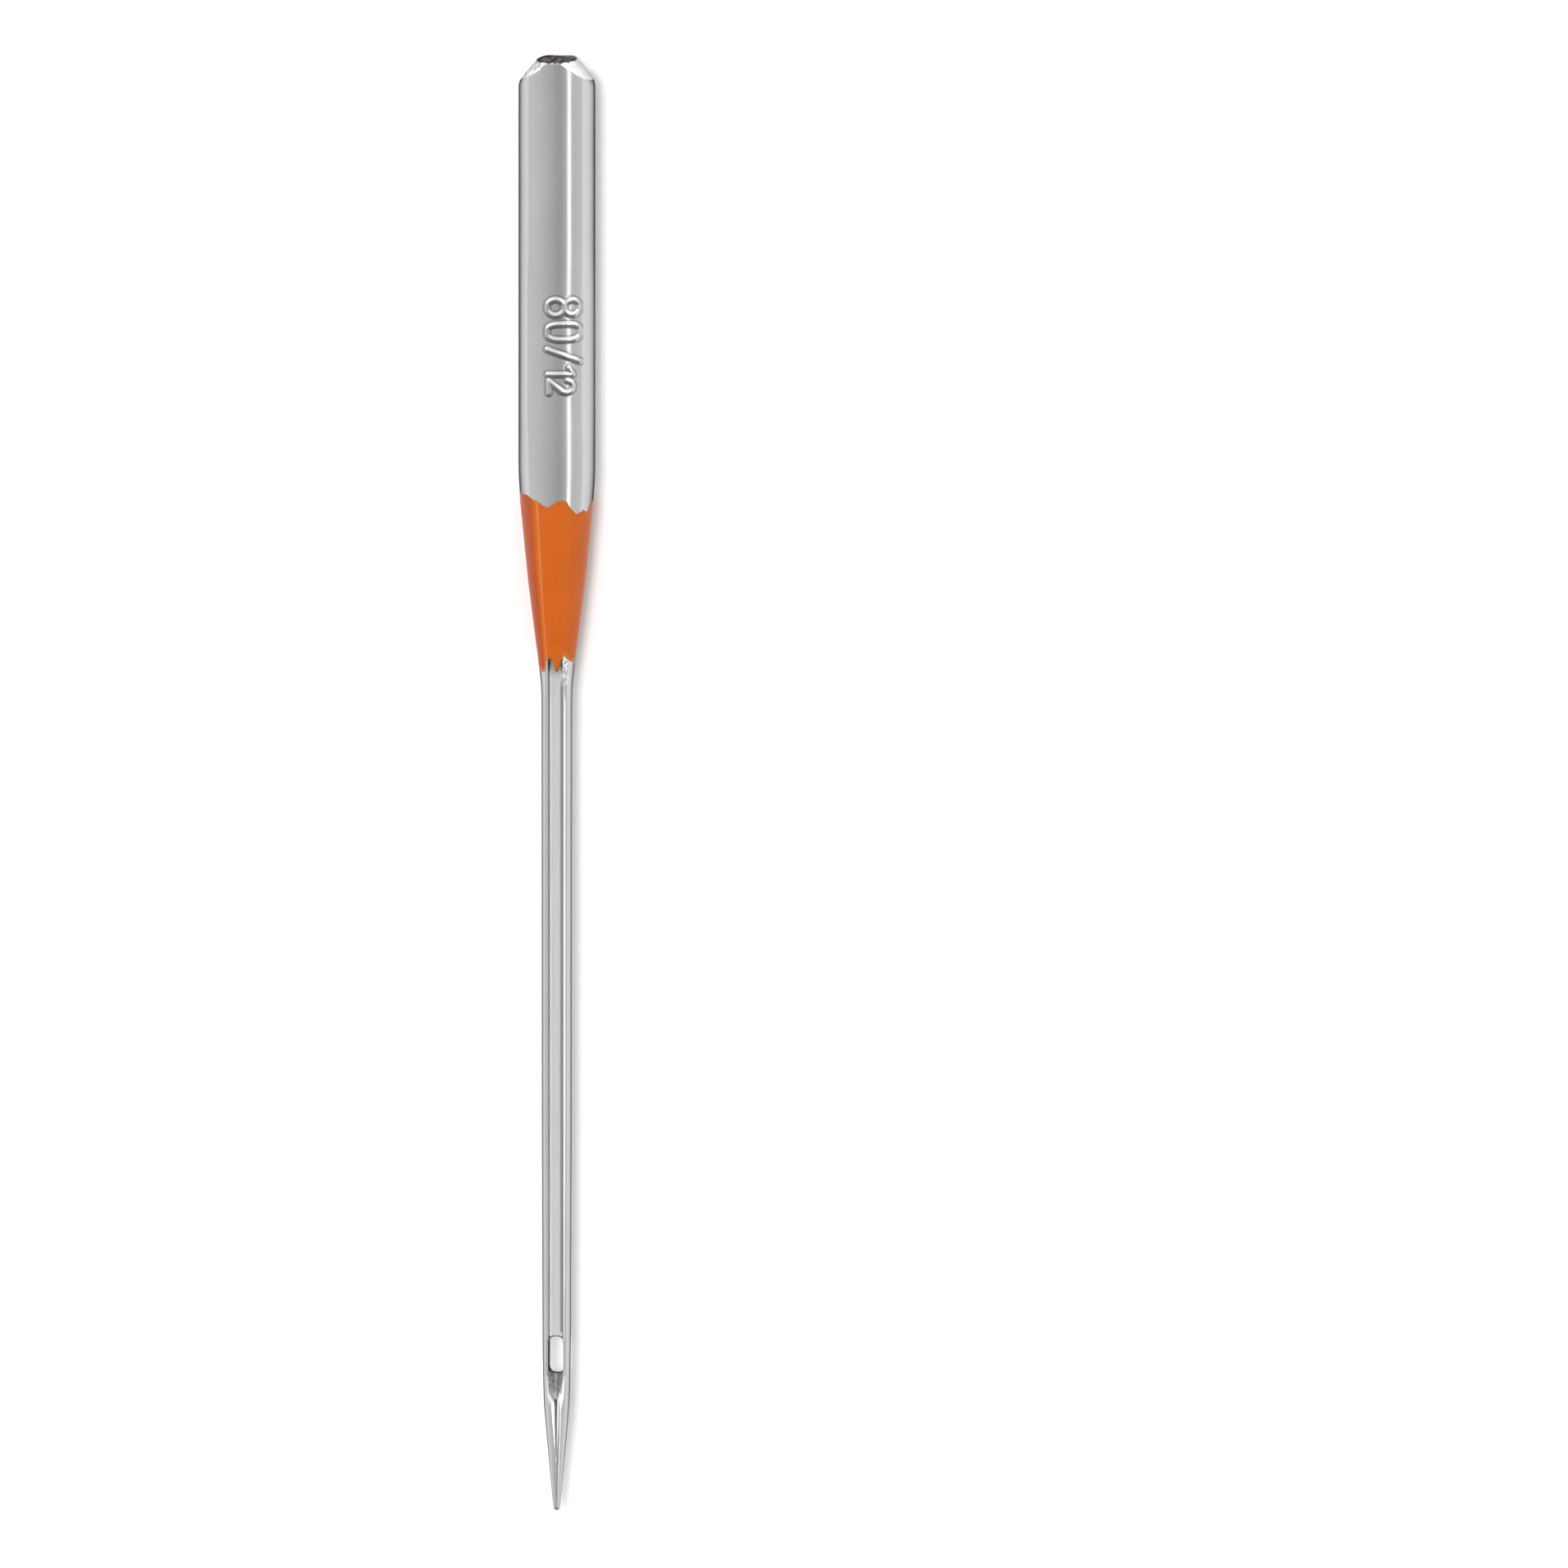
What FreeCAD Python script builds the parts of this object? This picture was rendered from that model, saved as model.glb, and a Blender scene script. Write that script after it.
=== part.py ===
import FreeCAD, Part
import math
import os
import Sketcher

# Sewing machine needle, flat-shank household system, size 80 (blade 0.80 mm).
# One piece of steel wire, swaged and ground, with no separate parts.
#
# Frame: +Z up, the needle lying on the ground flat of its shank as it comes to
# rest, butt towards +Y, point towards -Y. Z = 0 is the plane of the flat, and
# the origin is the middle of the underside of the bounding box.
# Inside the body the needle's own axis is the Y axis, and the body's Placement
# lifts it by the distance from the flat to the axis.

doc = FreeCAD.newDocument("needle")
V = FreeCAD.Vector

# ---------------------------------------------------------------- dimensions
# Stations are measured from the butt, along the needle; radii and heights are
# measured from its axis. Millimetres.
sheet = doc.addObject("Spreadsheet::Sheet", "Dims")
dims = [
    ("total_length", 38.5, "butt to tip"),
    ("shank_radius", 1.01, "round of the shank, diameter 2.02"),
    ("flat_depth", 0.74, "axis to the ground flat, 1.75 flat to round"),
    # turned outline
    ("cone_start", 11.45, "shank ends, cone starts"),
    ("cone_start_round", 10.0, "radius of the rounding there"),
    ("cone_mid", 13.90, "the cone steepens slightly"),
    ("cone_mid_radius", 0.745, ""),
    ("cone_end", 16.55, "cone ends, blade starts"),
    ("cone_end_round", 7.5, ""),
    ("blade_top_radius", 0.404, ""),
    ("blade_mid", 19.0, ""),
    ("blade_radius", 0.400, "blade diameter 0.80"),
    ("scarf_station", 27.8, ""),
    ("scarf_radius", 0.393, ""),
    ("eye_station", 33.9, ""),
    ("eye_radius", 0.372, ""),
    ("point_start", 35.71, "blade ends, point starts"),
    ("point_start_round", 14.0, ""),
    ("point_radius", 0.347, ""),
    ("tip_ball", 0.090, "radius of the slightly rounded tip"),
    # butt end: bevelled left and right by an elliptic cone about the axis
    ("butt_half_width", 0.514, "half width of the end face"),
    ("butt_half_height", 1.05, ""),
    ("bevel_length", 0.75, "length of the cutting cone"),
    ("bevel_half_width", 1.134, "half width at its end"),
    ("bevel_half_height", 1.6125, ""),
    ("bevel_outside", 1.85, "outer radius of the cutting ring"),
    ("butt_break", 0.04, "edge break round the end face"),
    # long groove on the front
    ("groove_width", 0.37, ""),
    ("groove_floor", 0.14, "axis to the bottom of the groove"),
    ("groove_corner", 0.075, "rounding between its floor and its sides"),
    ("groove_full", 16.45, "full depth from here to the eye"),
    ("groove_start", 15.20, "cutter is clear of the cone here"),
    ("groove_cutter", 1.80, "radius of the run-out"),
    ("groove_top", 0.95, "height of the cutting profile"),
    # eye
    ("eye_start", 33.86, "upper end of the eye"),
    ("eye_end", 34.83, "lower end of the eye"),
    ("eye_width", 0.40, ""),
    ("eye_corner", 0.165, ""),
    ("eye_break_back", 0.03, "rounding of the eye's rim on the back"),
    ("eye_break_front", 0.01, "and in the groove"),
    # ramp below the eye, then a fine crease towards the tip
    ("ramp_start", 34.60, ""),
    ("ramp_mid", 35.38, "it stays wide as far as here"),
    ("ramp_end", 35.66, ""),
    ("ramp_half_width", 0.290, ""),
    ("ramp_height", 0.42, ""),
    ("ramp_floor", 0.05, ""),
    ("ramp_mid_half_width", 0.262, ""),
    ("ramp_mid_height", 0.40, ""),
    ("ramp_mid_floor", 0.165, ""),
    ("ramp_end_half_width", 0.045, ""),
    ("ramp_end_height", 0.37, ""),
    ("ramp_end_floor", 0.325, ""),
    ("shoulder_start", 35.35, "shallow shoulders on both sides of the crease"),
    ("shoulder_end", 37.10, ""),
    ("shoulder_half_width", 0.350, ""),
    ("shoulder_height", 0.4424, ""),
    ("shoulder_floor", 0.2814, ""),
    ("shoulder_end_half_width", 0.300, ""),
    ("shoulder_end_height", 0.3417, ""),
    ("shoulder_end_floor", 0.2037, ""),
    ("crease_start", 35.40, ""),
    ("crease_end", 37.50, ""),
    ("crease_half_width", 0.075, ""),
    ("crease_height", 0.42, ""),
    ("crease_floor", 0.235, ""),
    ("crease_end_half_width", 0.020, ""),
    ("crease_end_height", 0.24, ""),
    ("crease_end_floor", 0.170, ""),
    # scarf ground out of the back
    ("scarf_entry", 27.00, "grinding line enters here, below the surface"),
    ("scarf_entry_depth", 0.437, ""),
    ("scarf_full", 29.15, "full depth from here"),
    ("scarf_floor", 0.238, "axis to the floor of the scarf"),
    ("scarf_rise", 32.35, "floor starts to rise"),
    ("scarf_heel_start", 33.45, "back of the eye zone"),
    ("scarf_heel", 0.300, "axis to the back of the eye zone"),
    ("scarf_round_a", 8.0, ""),
    ("scarf_round_b", 6.0, ""),
    ("scarf_width", 1.20, ""),
    # short groove on the back, past the eye
    ("short_start", 33.20, ""),
    ("short_full", 33.65, ""),
    ("short_rise", 35.10, ""),
    ("short_end", 35.60, ""),
    ("short_width", 0.32, ""),
    ("short_floor", 0.225, ""),
    ("below", 1.50, "how far cutting profiles reach past the needle"),
]
for i, (alias, value, note) in enumerate(dims, start=1):
    sheet.set("A%d" % i, alias)
    sheet.set("B%d" % i, repr(value))
    sheet.set("C%d" % i, note)
    sheet.setAlias("B%d" % i, alias)
doc.recompute()
D = {alias: value for alias, value, _ in dims}


def Y(station):
    """Y coordinate of a station measured from the butt."""
    return D["total_length"] / 2.0 - station


def at(alias):
    """(value, expression) of the Y coordinate of a station."""
    return Y(D[alias]), "Dims.total_length / 2 - Dims." + alias


def dim(alias, sign=1):
    """(value, expression) of a dimension, or of its negative."""
    return sign * D[alias], ("-" if sign < 0 else "") + "Dims." + alias


def half(alias, sign=1):
    return sign * D[alias] / 2.0, ("-" if sign < 0 else "") + "Dims." + alias + " / 2"


ZERO = (0.0, None)


def sketch_on(body, name, role, station=None):
    """Sketch on an origin plane; an XZ sketch can stand at a station."""
    sk = body.newObject("Sketcher::SketchObject", name)
    for f in body.Origin.OriginFeatures:
        if f.Role == role:
            sk.AttachmentSupport = [(f, "")]
    sk.MapMode = "FlatFace"
    if station is not None:
        # the XZ plane's normal points to -Y
        sk.AttachmentOffset = FreeCAD.Placement(V(0, 0, -Y(D[station])), FreeCAD.Rotation())
        sk.setExpression("AttachmentOffset.Base.z", "Dims.%s - Dims.total_length / 2" % station)
    doc.recompute()
    sk.Visibility = False
    return sk


def bind(sk, geo, pos, x, y, label):
    """Tie a sketch point to the sheet. x and y are (value, expression)."""
    for kind, value, expr, zero_axis in (("DistanceX", x[0], x[1], -2), ("DistanceY", y[0], y[1], -1)):
        if expr is None:
            sk.addConstraint(Sketcher.Constraint("PointOnObject", geo, pos, zero_axis))
        else:
            n = sk.addConstraint(Sketcher.Constraint(kind, -1, 1, geo, pos, value))
            name = "%s_%s" % (label, kind[-1].lower())
            sk.renameConstraint(n, name)
            sk.setExpression("Constraints." + name, expr)


def polygon(sk, points):
    """Closed outline; points are (label, x, y), x and y as bind() takes them."""
    n = len(points)
    for i in range(n):
        a, b = points[i], points[(i + 1) % n]
        sk.addGeometry(Part.LineSegment(V(a[1][0], a[2][0], 0), V(b[1][0], b[2][0], 0)), False)
    for i in range(n):
        sk.addConstraint(Sketcher.Constraint("Coincident", i, 2, (i + 1) % n, 1))
    for i, (label, x, y) in enumerate(points):
        bind(sk, i, 1, x, y, label)


def round_corner(sk, geo, radius_alias, label):
    """Round the corner at the end of line geo, and tie its radius."""
    before = sk.GeometryCount
    sk.fillet(geo, 2, D[radius_alias], True, True)
    for g in range(before, sk.GeometryCount):
        if isinstance(sk.Geometry[g], Part.ArcOfCircle):
            n = sk.addConstraint(Sketcher.Constraint("Radius", g, D[radius_alias]))
            sk.renameConstraint(n, label)
            sk.setExpression("Constraints." + label, "Dims." + radius_alias)


def cut(feature, before, least, most):
    """A cut that points away from the solid removes nothing: compare volumes."""
    doc.recompute()
    gone = before - feature.Shape.Volume
    print("%-14s removed %8.4f mm3" % (feature.Name, gone))
    if not least <= gone <= most:
        raise RuntimeError("%s removed %.4f mm3" % (feature.Name, gone))
    return feature.Shape.Volume


# ------------------------------------------------------------------ the body
body = doc.addObject("PartDesign::Body", "needle")
body.Label = "needle"
body.setExpression("Placement.Base.z", "Dims.flat_depth")

# 1. Turned outline: half section in the YZ plane, revolved about the Y axis.
#    It is drawn below the axis, so that the seam falls on the back.
outline = sketch_on(body, "outline_sketch", "YZ_Plane")
stations = [
    ("butt", (D["total_length"] / 2.0, "Dims.total_length / 2"), "shank_radius"),
    ("cone_top", at("cone_start"), "shank_radius"),
    ("cone_mid", at("cone_mid"), "cone_mid_radius"),
    ("cone_foot", at("cone_end"), "blade_top_radius"),
    ("blade", at("blade_mid"), "blade_radius"),
    ("scarf", at("scarf_station"), "scarf_radius"),
    ("eye", at("eye_station"), "eye_radius"),
    ("point", at("point_start"), "point_radius"),
]
pts = [(stations[0][1][0], 0.0)] + [(y[0], -D[r]) for _, y, r in stations]
# the tip's ball is tangent to the cone of the point
rb = D["tip_ball"]
cx, px, pr = -D["total_length"] / 2.0 + rb, Y(D["point_start"]), D["point_radius"]
ang = math.atan2(pr, px - cx) + math.acos(rb / math.hypot(px - cx, pr))
pts.append((cx + rb * math.cos(ang), -rb * math.sin(ang)))
for a, b in zip(pts[:-1], pts[1:]):
    outline.addGeometry(Part.LineSegment(V(a[0], a[1], 0), V(b[0], b[1], 0)), False)
last = len(pts) - 2
ball = outline.addGeometry(Part.ArcOfCircle(Part.Circle(V(cx, 0, 0), V(0, 0, 1), rb),
                                            math.pi, 2 * math.pi - ang), False)
axis = outline.addGeometry(Part.LineSegment(V(cx - rb, 0, 0), V(pts[0][0], 0, 0)), False)
for i in range(last):
    outline.addConstraint(Sketcher.Constraint("Coincident", i, 2, i + 1, 1))
outline.addConstraint(Sketcher.Constraint("Tangent", last, 2, ball, 2))
outline.addConstraint(Sketcher.Constraint("Coincident", ball, 1, axis, 1))
outline.addConstraint(Sketcher.Constraint("Coincident", axis, 2, 0, 1))
outline.addConstraint(Sketcher.Constraint("PointOnObject", ball, 3, -1))
bind(outline, 0, 1, stations[0][1], ZERO, "butt_axis")
bind(outline, ball, 1, (-D["total_length"] / 2.0, "-Dims.total_length / 2"), ZERO, "tip")
n = outline.addConstraint(Sketcher.Constraint("Radius", ball, rb))
outline.renameConstraint(n, "ball_radius")
outline.setExpression("Constraints.ball_radius", "Dims.tip_ball")
for i, (label, y, r) in enumerate(stations):
    bind(outline, i + 1, 1, y, dim(r, -1), label)
round_corner(outline, 1, "cone_start_round", "cone_start_round")
round_corner(outline, 3, "cone_end_round", "cone_end_round")
round_corner(outline, 7, "point_start_round", "point_start_round")
doc.recompute()
turned = body.newObject("PartDesign::Revolution", "turned")
turned.Profile = outline
turned.ReferenceAxis = (outline, ["H_Axis"])
turned.Angle = 360.0
doc.recompute()
volume = turned.Shape.Volume
print("turned blank    %.4f mm3" % volume)

# 2. The ground flat of the shank. It runs out in the cone, where the cone's
#    radius falls below the flat's distance from the axis.
flat_sk = sketch_on(body, "flat_sketch", "XZ_Plane")
polygon(flat_sk, [
    ("a", dim("below", -1), dim("flat_depth", -1)),
    ("b", dim("below"), dim("flat_depth", -1)),
    ("c", dim("below"), dim("below", -1)),
    ("d", dim("below", -1), dim("below", -1)),
])
flat = body.newObject("PartDesign::Pocket", "shank_flat")
flat.Profile = flat_sk
flat.Type = "ThroughAll"
flat.Midplane = True
volume = cut(flat, volume, 2.5, 4.0)

# 3. Butt end: the two side bevels, one elliptic cone about the axis, so the
#    end face is narrow at the front and at the flat, and wide between them.
rings = []
for name, station, a, b in (("bevel_end_sketch", None, "butt_half_width", "butt_half_height"),
                            ("bevel_foot_sketch", "bevel_length", "bevel_half_width", "bevel_half_height")):
    sk = sketch_on(body, name, "XZ_Plane")
    y_ring = D["total_length"] / 2.0 - (D[station] if station else 0.0)
    sk.AttachmentOffset = FreeCAD.Placement(V(0, 0, -y_ring), FreeCAD.Rotation())
    sk.setExpression("AttachmentOffset.Base.z",
                     ("Dims.%s - " % station if station else "-") + "Dims.total_length / 2")
    ring = sk.addGeometry(Part.Circle(V(0, 0, 0), V(0, 0, 1), D["bevel_outside"]), False)
    sk.addConstraint(Sketcher.Constraint("Coincident", ring, 3, -1, 1))
    n = sk.addConstraint(Sketcher.Constraint("Radius", ring, D["bevel_outside"]))
    sk.renameConstraint(n, "outside")
    sk.setExpression("Constraints.outside", "Dims.bevel_outside")
    ell = sk.addGeometry(Part.Ellipse(V(0, D[b], 0), V(D[a], 0, 0), V(0, 0, 0)) if D[b] > D[a]
                         else Part.Ellipse(V(D[a], 0, 0), V(0, D[b], 0), V(0, 0, 0)), False)
    sk.exposeInternalGeometry(ell)
    sk.addConstraint(Sketcher.Constraint("Coincident", ell, 3, -1, 1))
    doc.recompute()
    # the exposed diameters: tie each end that lies on an axis to the sheet
    for g in range(sk.GeometryCount):
        geo = sk.Geometry[g]
        if isinstance(geo, Part.LineSegment):
            if abs(geo.EndPoint.x) > abs(geo.EndPoint.y):
                pos = 2 if geo.EndPoint.x > 0 else 1
                n = sk.addConstraint(Sketcher.Constraint("DistanceX", -1, 1, g, pos, D[a]))
                sk.renameConstraint(n, "half_width")
                sk.setExpression("Constraints.half_width", "Dims." + a)
                sk.addConstraint(Sketcher.Constraint("PointOnObject", g, pos, -1))
            else:
                pos = 2 if geo.EndPoint.y > 0 else 1
                n = sk.addConstraint(Sketcher.Constraint("DistanceY", -1, 1, g, pos, D[b]))
                sk.renameConstraint(n, "half_height")
                sk.setExpression("Constraints.half_height", "Dims." + b)
    doc.recompute()
    rings.append(sk)
bevel = body.newObject("PartDesign::SubtractiveLoft", "butt_bevels")
bevel.Profile = rings[0]
bevel.Sections = [rings[1]]
bevel.Ruled = True
volume = cut(bevel, volume, 0.1, 0.6)

# 4. Long groove on the front: a square cutter with rounded corners that comes
#    down an arc through the cone and then runs straight to the eye.
gw = D["groove_width"] / 2.0
mid = D["groove_floor"] + gw
spine = sketch_on(body, "groove_path", "YZ_Plane")
R = D["groove_cutter"]
sweep = math.asin((D["groove_full"] - D["groove_start"]) / R)
run = spine.addGeometry(Part.LineSegment(V(Y(34.2), mid, 0), V(Y(D["groove_full"]), mid, 0)), False)
arc = spine.addGeometry(Part.ArcOfCircle(Part.Circle(V(Y(D["groove_full"]), mid + R, 0), V(0, 0, 1), R),
                                         -math.pi / 2, -math.pi / 2 + sweep), False)
spine.addConstraint(Sketcher.Constraint("Tangent", run, 2, arc, 1))
spine.addConstraint(Sketcher.Constraint("Horizontal", run))
bind(spine, run, 1, (Y(34.2), "Dims.total_length / 2 - (Dims.eye_start + Dims.eye_end) / 2 + 0.145"),
     (mid, "Dims.groove_floor + Dims.groove_width / 2"), "eye_end")
for label, value, expr in (("full", Y(D["groove_full"]), "Dims.total_length / 2 - Dims.groove_full"),):
    n = spine.addConstraint(Sketcher.Constraint("DistanceX", -1, 1, run, 2, value))
    spine.renameConstraint(n, label)
    spine.setExpression("Constraints." + label, expr)
n = spine.addConstraint(Sketcher.Constraint("Radius", arc, R))
spine.renameConstraint(n, "cutter")
spine.setExpression("Constraints.cutter", "Dims.groove_cutter")
n = spine.addConstraint(Sketcher.Constraint("DistanceX", -1, 1, arc, 2, Y(D["groove_start"])))
spine.renameConstraint(n, "start")
spine.setExpression("Constraints.start", "Dims.total_length / 2 - Dims.groove_start")
doc.recompute()

prof = sketch_on(body, "groove_profile", "XZ_Plane")
prof.AttachmentOffset = FreeCAD.Placement(V(0, 0, -Y(34.2)), FreeCAD.Rotation())
prof.setExpression("AttachmentOffset.Base.z",
                   "-(Dims.total_length / 2 - (Dims.eye_start + Dims.eye_end) / 2 + 0.145)")
polygon(prof, [
    ("right_top", half("groove_width"), dim("groove_top")),
    ("left_top", half("groove_width", -1), dim("groove_top")),
    ("left_floor", half("groove_width", -1), dim("groove_floor")),
    ("right_floor", half("groove_width"), dim("groove_floor")),
])
round_corner(prof, 1, "groove_corner", "corner_left")
round_corner(prof, 2, "groove_corner", "corner_right")
doc.recompute()
groove = body.newObject("PartDesign::SubtractivePipe", "long_groove")
groove.Profile = prof
groove.Spine = (spine, [])
groove.Mode = "Frenet"
volume = cut(groove, volume, 0.8, 2.2)

# 5. Scarf: the hollow ground out of the back above the eye, for the hook.
scarf_sk = sketch_on(body, "scarf_sketch", "YZ_Plane")
polygon(scarf_sk, [
    ("entry", at("scarf_entry"), dim("scarf_entry_depth", -1)),
    ("full", at("scarf_full"), dim("scarf_floor", -1)),
    ("rise", at("scarf_rise"), dim("scarf_floor", -1)),
    ("heel", at("scarf_heel_start"), dim("scarf_heel", -1)),
    ("out", (Y(D["total_length"]) - 0.5, "-Dims.total_length / 2 - 0.5"), dim("scarf_heel", -1)),
    ("low", (Y(D["total_length"]) - 0.5, "-Dims.total_length / 2 - 0.5"), dim("below", -1)),
    ("low_entry", at("scarf_entry"), dim("below", -1)),
])
round_corner(scarf_sk, 0, "scarf_round_a", "round_full")
round_corner(scarf_sk, 1, "scarf_round_b", "round_rise")
round_corner(scarf_sk, 2, "scarf_round_b", "round_heel")
doc.recompute()
scarf = body.newObject("PartDesign::Pocket", "scarf")
scarf.Profile = scarf_sk
scarf.Type = "Length"
scarf.Midplane = True
scarf.setExpression("Length", "Dims.scarf_width")
volume = cut(scarf, volume, 0.2, 1.2)

# 6. Short groove on the back, past the eye, where the thread slides.
short_sk = sketch_on(body, "short_groove_sketch", "YZ_Plane")
polygon(short_sk, [
    ("start", at("short_start"), dim("scarf_heel", -1)),
    ("full", at("short_full"), dim("short_floor", -1)),
    ("rise", at("short_rise"), dim("short_floor", -1)),
    ("end", at("short_end"), (-D["scarf_heel"] - 0.02, "-Dims.scarf_heel - 0.02")),
    ("low_end", at("short_end"), dim("below", -1)),
    ("low_start", at("short_start"), dim("below", -1)),
])
short = body.newObject("PartDesign::Pocket", "short_groove")
short.Profile = short_sk
short.Type = "Length"
short.Midplane = True
short.setExpression("Length", "Dims.short_width")
volume = cut(short, volume, 0.01, 0.1)

# 7. Ramp below the eye, and the fine crease between two shallow shoulders that
#    runs on from it: V sections
#    that narrow and rise to the surface.
def vee(name, station, half_width, height, floor):
    sk = sketch_on(body, name, "XZ_Plane", station)
    polygon(sk, [
        ("left", dim(half_width, -1), dim(height)),
        ("keel", ZERO, dim(floor)),
        ("right", dim(half_width), dim(height)),
    ])
    doc.recompute()
    return sk


for name, places, least in (("ramp", ("", "_mid", "_end"), 0.005), ("shoulder", ("", "_end"), 0.0005),
                           ("crease", ("", "_end"), 0.0001)):
    vees = []
    for place in places:
        key = name + place
        vees.append(vee(key + "_sketch", key if place else name + "_start",
                        key + "_half_width", key + "_height", key + "_floor"))
    loft = body.newObject("PartDesign::SubtractiveLoft", name)
    loft.Profile = vees[0]
    loft.Sections = vees[1:]
    loft.Ruled = True
    volume = cut(loft, volume, least, 0.1)

# 8. The eye, straight through from the long groove to the back.
eye_sk = sketch_on(body, "eye_sketch", "XY_Plane")
polygon(eye_sk, [
    ("a", half("eye_width", -1), at("eye_start")),
    ("b", half("eye_width", -1), at("eye_end")),
    ("c", half("eye_width"), at("eye_end")),
    ("d", half("eye_width"), at("eye_start")),
])
for g, label in ((0, "corner_b"), (1, "corner_c"), (2, "corner_d"), (3, "corner_a")):
    round_corner(eye_sk, g, "eye_corner", label)
doc.recompute()
eye = body.newObject("PartDesign::Pocket", "eye")
eye.Profile = eye_sk
eye.Type = "ThroughAll"
eye.Midplane = True
volume = cut(eye, volume, 0.05, 0.35)

# 9. Edge breaks: the eye's rims, so that they do not cut the thread, and the
#    edge round the butt's end face.
def eye_rim(shape, front):
    """Edges where the walls of the eye meet the rest, front or back."""
    y0, y1, wide = Y(D["eye_end"]) - 3e-3, Y(D["eye_start"]) + 3e-3, D["eye_width"] / 2 + 2e-3
    count = {}
    for face in shape.Faces:
        b = face.BoundBox
        if b.YMin > y0 and b.YMax < y1 and -wide < b.XMin and b.XMax < wide and b.ZLength > 0.3:
            for e in face.Edges:
                for k, other in enumerate(shape.Edges, start=1):
                    if e.isSame(other):
                        count[k] = count.get(k, 0) + 1
    rim = [k for k, c in sorted(count.items()) if c == 1]
    return ["Edge%d" % k for k in rim if (shape.Edges[k - 1].CenterOfMass.z > 0) == front]


def end_face_edges(shape):
    top = D["total_length"] / 2.0 - 1e-4
    return ["Edge%d" % k for k, e in enumerate(shape.Edges, start=1)
            if min(v.Point.y for v in e.Vertexes) > top]


for name, pick, radius in (
        ("eye_rim_back", lambda sh: eye_rim(sh, False), "eye_break_back"),
        ("eye_rim_front", lambda sh: eye_rim(sh, True), "eye_break_front"),
        ("butt_edge", end_face_edges, "butt_break")):
    base = body.Tip
    rounding = body.newObject("PartDesign::Fillet", name)
    rounding.Base = (base, pick(base.Shape))
    rounding.setExpression("Radius", "Dims." + radius)
    volume = cut(rounding, volume, 0.00001, 0.01)

# ------------------------------------------------------------ check and write
doc.recompute()
for obj in doc.Objects:
    if "Invalid" in obj.State or "Error" in obj.State:
        raise RuntimeError("%s: %s" % (obj.Name, obj.State))
for obj in doc.Objects:
    if obj.TypeId == "Sketcher::SketchObject":
        dof = obj.solve()
        if dof != 0:
            raise RuntimeError("%s does not solve: %s" % (obj.Name, dof))
parts = [body]
os.makedirs("parts", exist_ok=True)
for part in parts:
    shape = part.Shape
    if shape.isNull() or not shape.isValid():
        raise RuntimeError(part.Label + " has no valid shape")
    if len(shape.Solids) != 1:
        raise RuntimeError("%s has %d solids" % (part.Label, len(shape.Solids)))
    box = shape.BoundBox
    print("%s: %.4f mm3, %d faces, X %.4f %.4f, Y %.4f %.4f, Z %.4f %.4f" % (
        part.Label, shape.Volume, len(shape.Faces),
        box.XMin, box.XMax, box.YMin, box.YMax, box.ZMin, box.ZMax))
    shape.exportStep("parts/%s.step" % part.Label)
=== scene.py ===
import bpy
import math
import numpy as np
from mathutils import Matrix, Vector

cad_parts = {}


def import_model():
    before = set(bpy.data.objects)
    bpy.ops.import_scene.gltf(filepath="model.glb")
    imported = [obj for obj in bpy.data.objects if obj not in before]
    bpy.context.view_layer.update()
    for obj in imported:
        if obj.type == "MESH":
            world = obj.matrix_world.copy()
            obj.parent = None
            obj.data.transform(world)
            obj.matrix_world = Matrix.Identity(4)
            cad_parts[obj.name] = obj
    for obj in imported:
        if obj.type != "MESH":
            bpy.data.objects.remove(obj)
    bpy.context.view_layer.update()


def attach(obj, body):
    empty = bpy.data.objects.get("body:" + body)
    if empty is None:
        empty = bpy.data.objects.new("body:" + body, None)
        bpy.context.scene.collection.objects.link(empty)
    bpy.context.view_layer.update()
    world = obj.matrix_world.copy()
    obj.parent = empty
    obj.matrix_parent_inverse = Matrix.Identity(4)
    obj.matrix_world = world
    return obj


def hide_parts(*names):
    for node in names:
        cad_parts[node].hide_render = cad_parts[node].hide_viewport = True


# Sewing machine needle, size 80, lying on the ground flat of its shank.
# The steel is one closed mesh on a grid of stations (rows) and angles (columns);
# every vertex is put on the zero surface of field() below. The size paint is a
# thin closed film on the cone. Lengths are millimetres until the mesh is made.
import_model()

LENGTH = 38.5
RS = 1.01            # shank radius
FLAT = 0.74          # axis to the ground flat
rng = np.random.default_rng(80)

# ------------------------------------------------------------------ profiles
S = np.arange(-1.0, 39.6, 0.005)


def table(points, sigma):
    """Polyline over the stations S, rounded off by a Gaussian of that width."""
    p = np.array(points, float)
    t = np.interp(S, p[:, 0], p[:, 1])
    if sigma > 0:
        n = int(4 * sigma / 0.005)
        k = np.exp(-0.5 * (np.arange(-n, n + 1) * 0.005 / sigma) ** 2)
        t = np.convolve(np.pad(t, n, mode="edge"), k / k.sum(), mode="valid")
    return t


def line(points, sigma, beyond=1.5):
    """As table(), but the end segments run on straight."""
    (x0, y0), (x1, y1) = points[0], points[1]
    (x3, y3), (x2, y2) = points[-1], points[-2]
    a = (x0 - beyond, y0 - beyond * (y1 - y0) / (x1 - x0))
    b = (x3 + beyond, y3 + beyond * (y3 - y2) / (x3 - x2))
    return table([a] + list(points) + [b], sigma)


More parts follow.
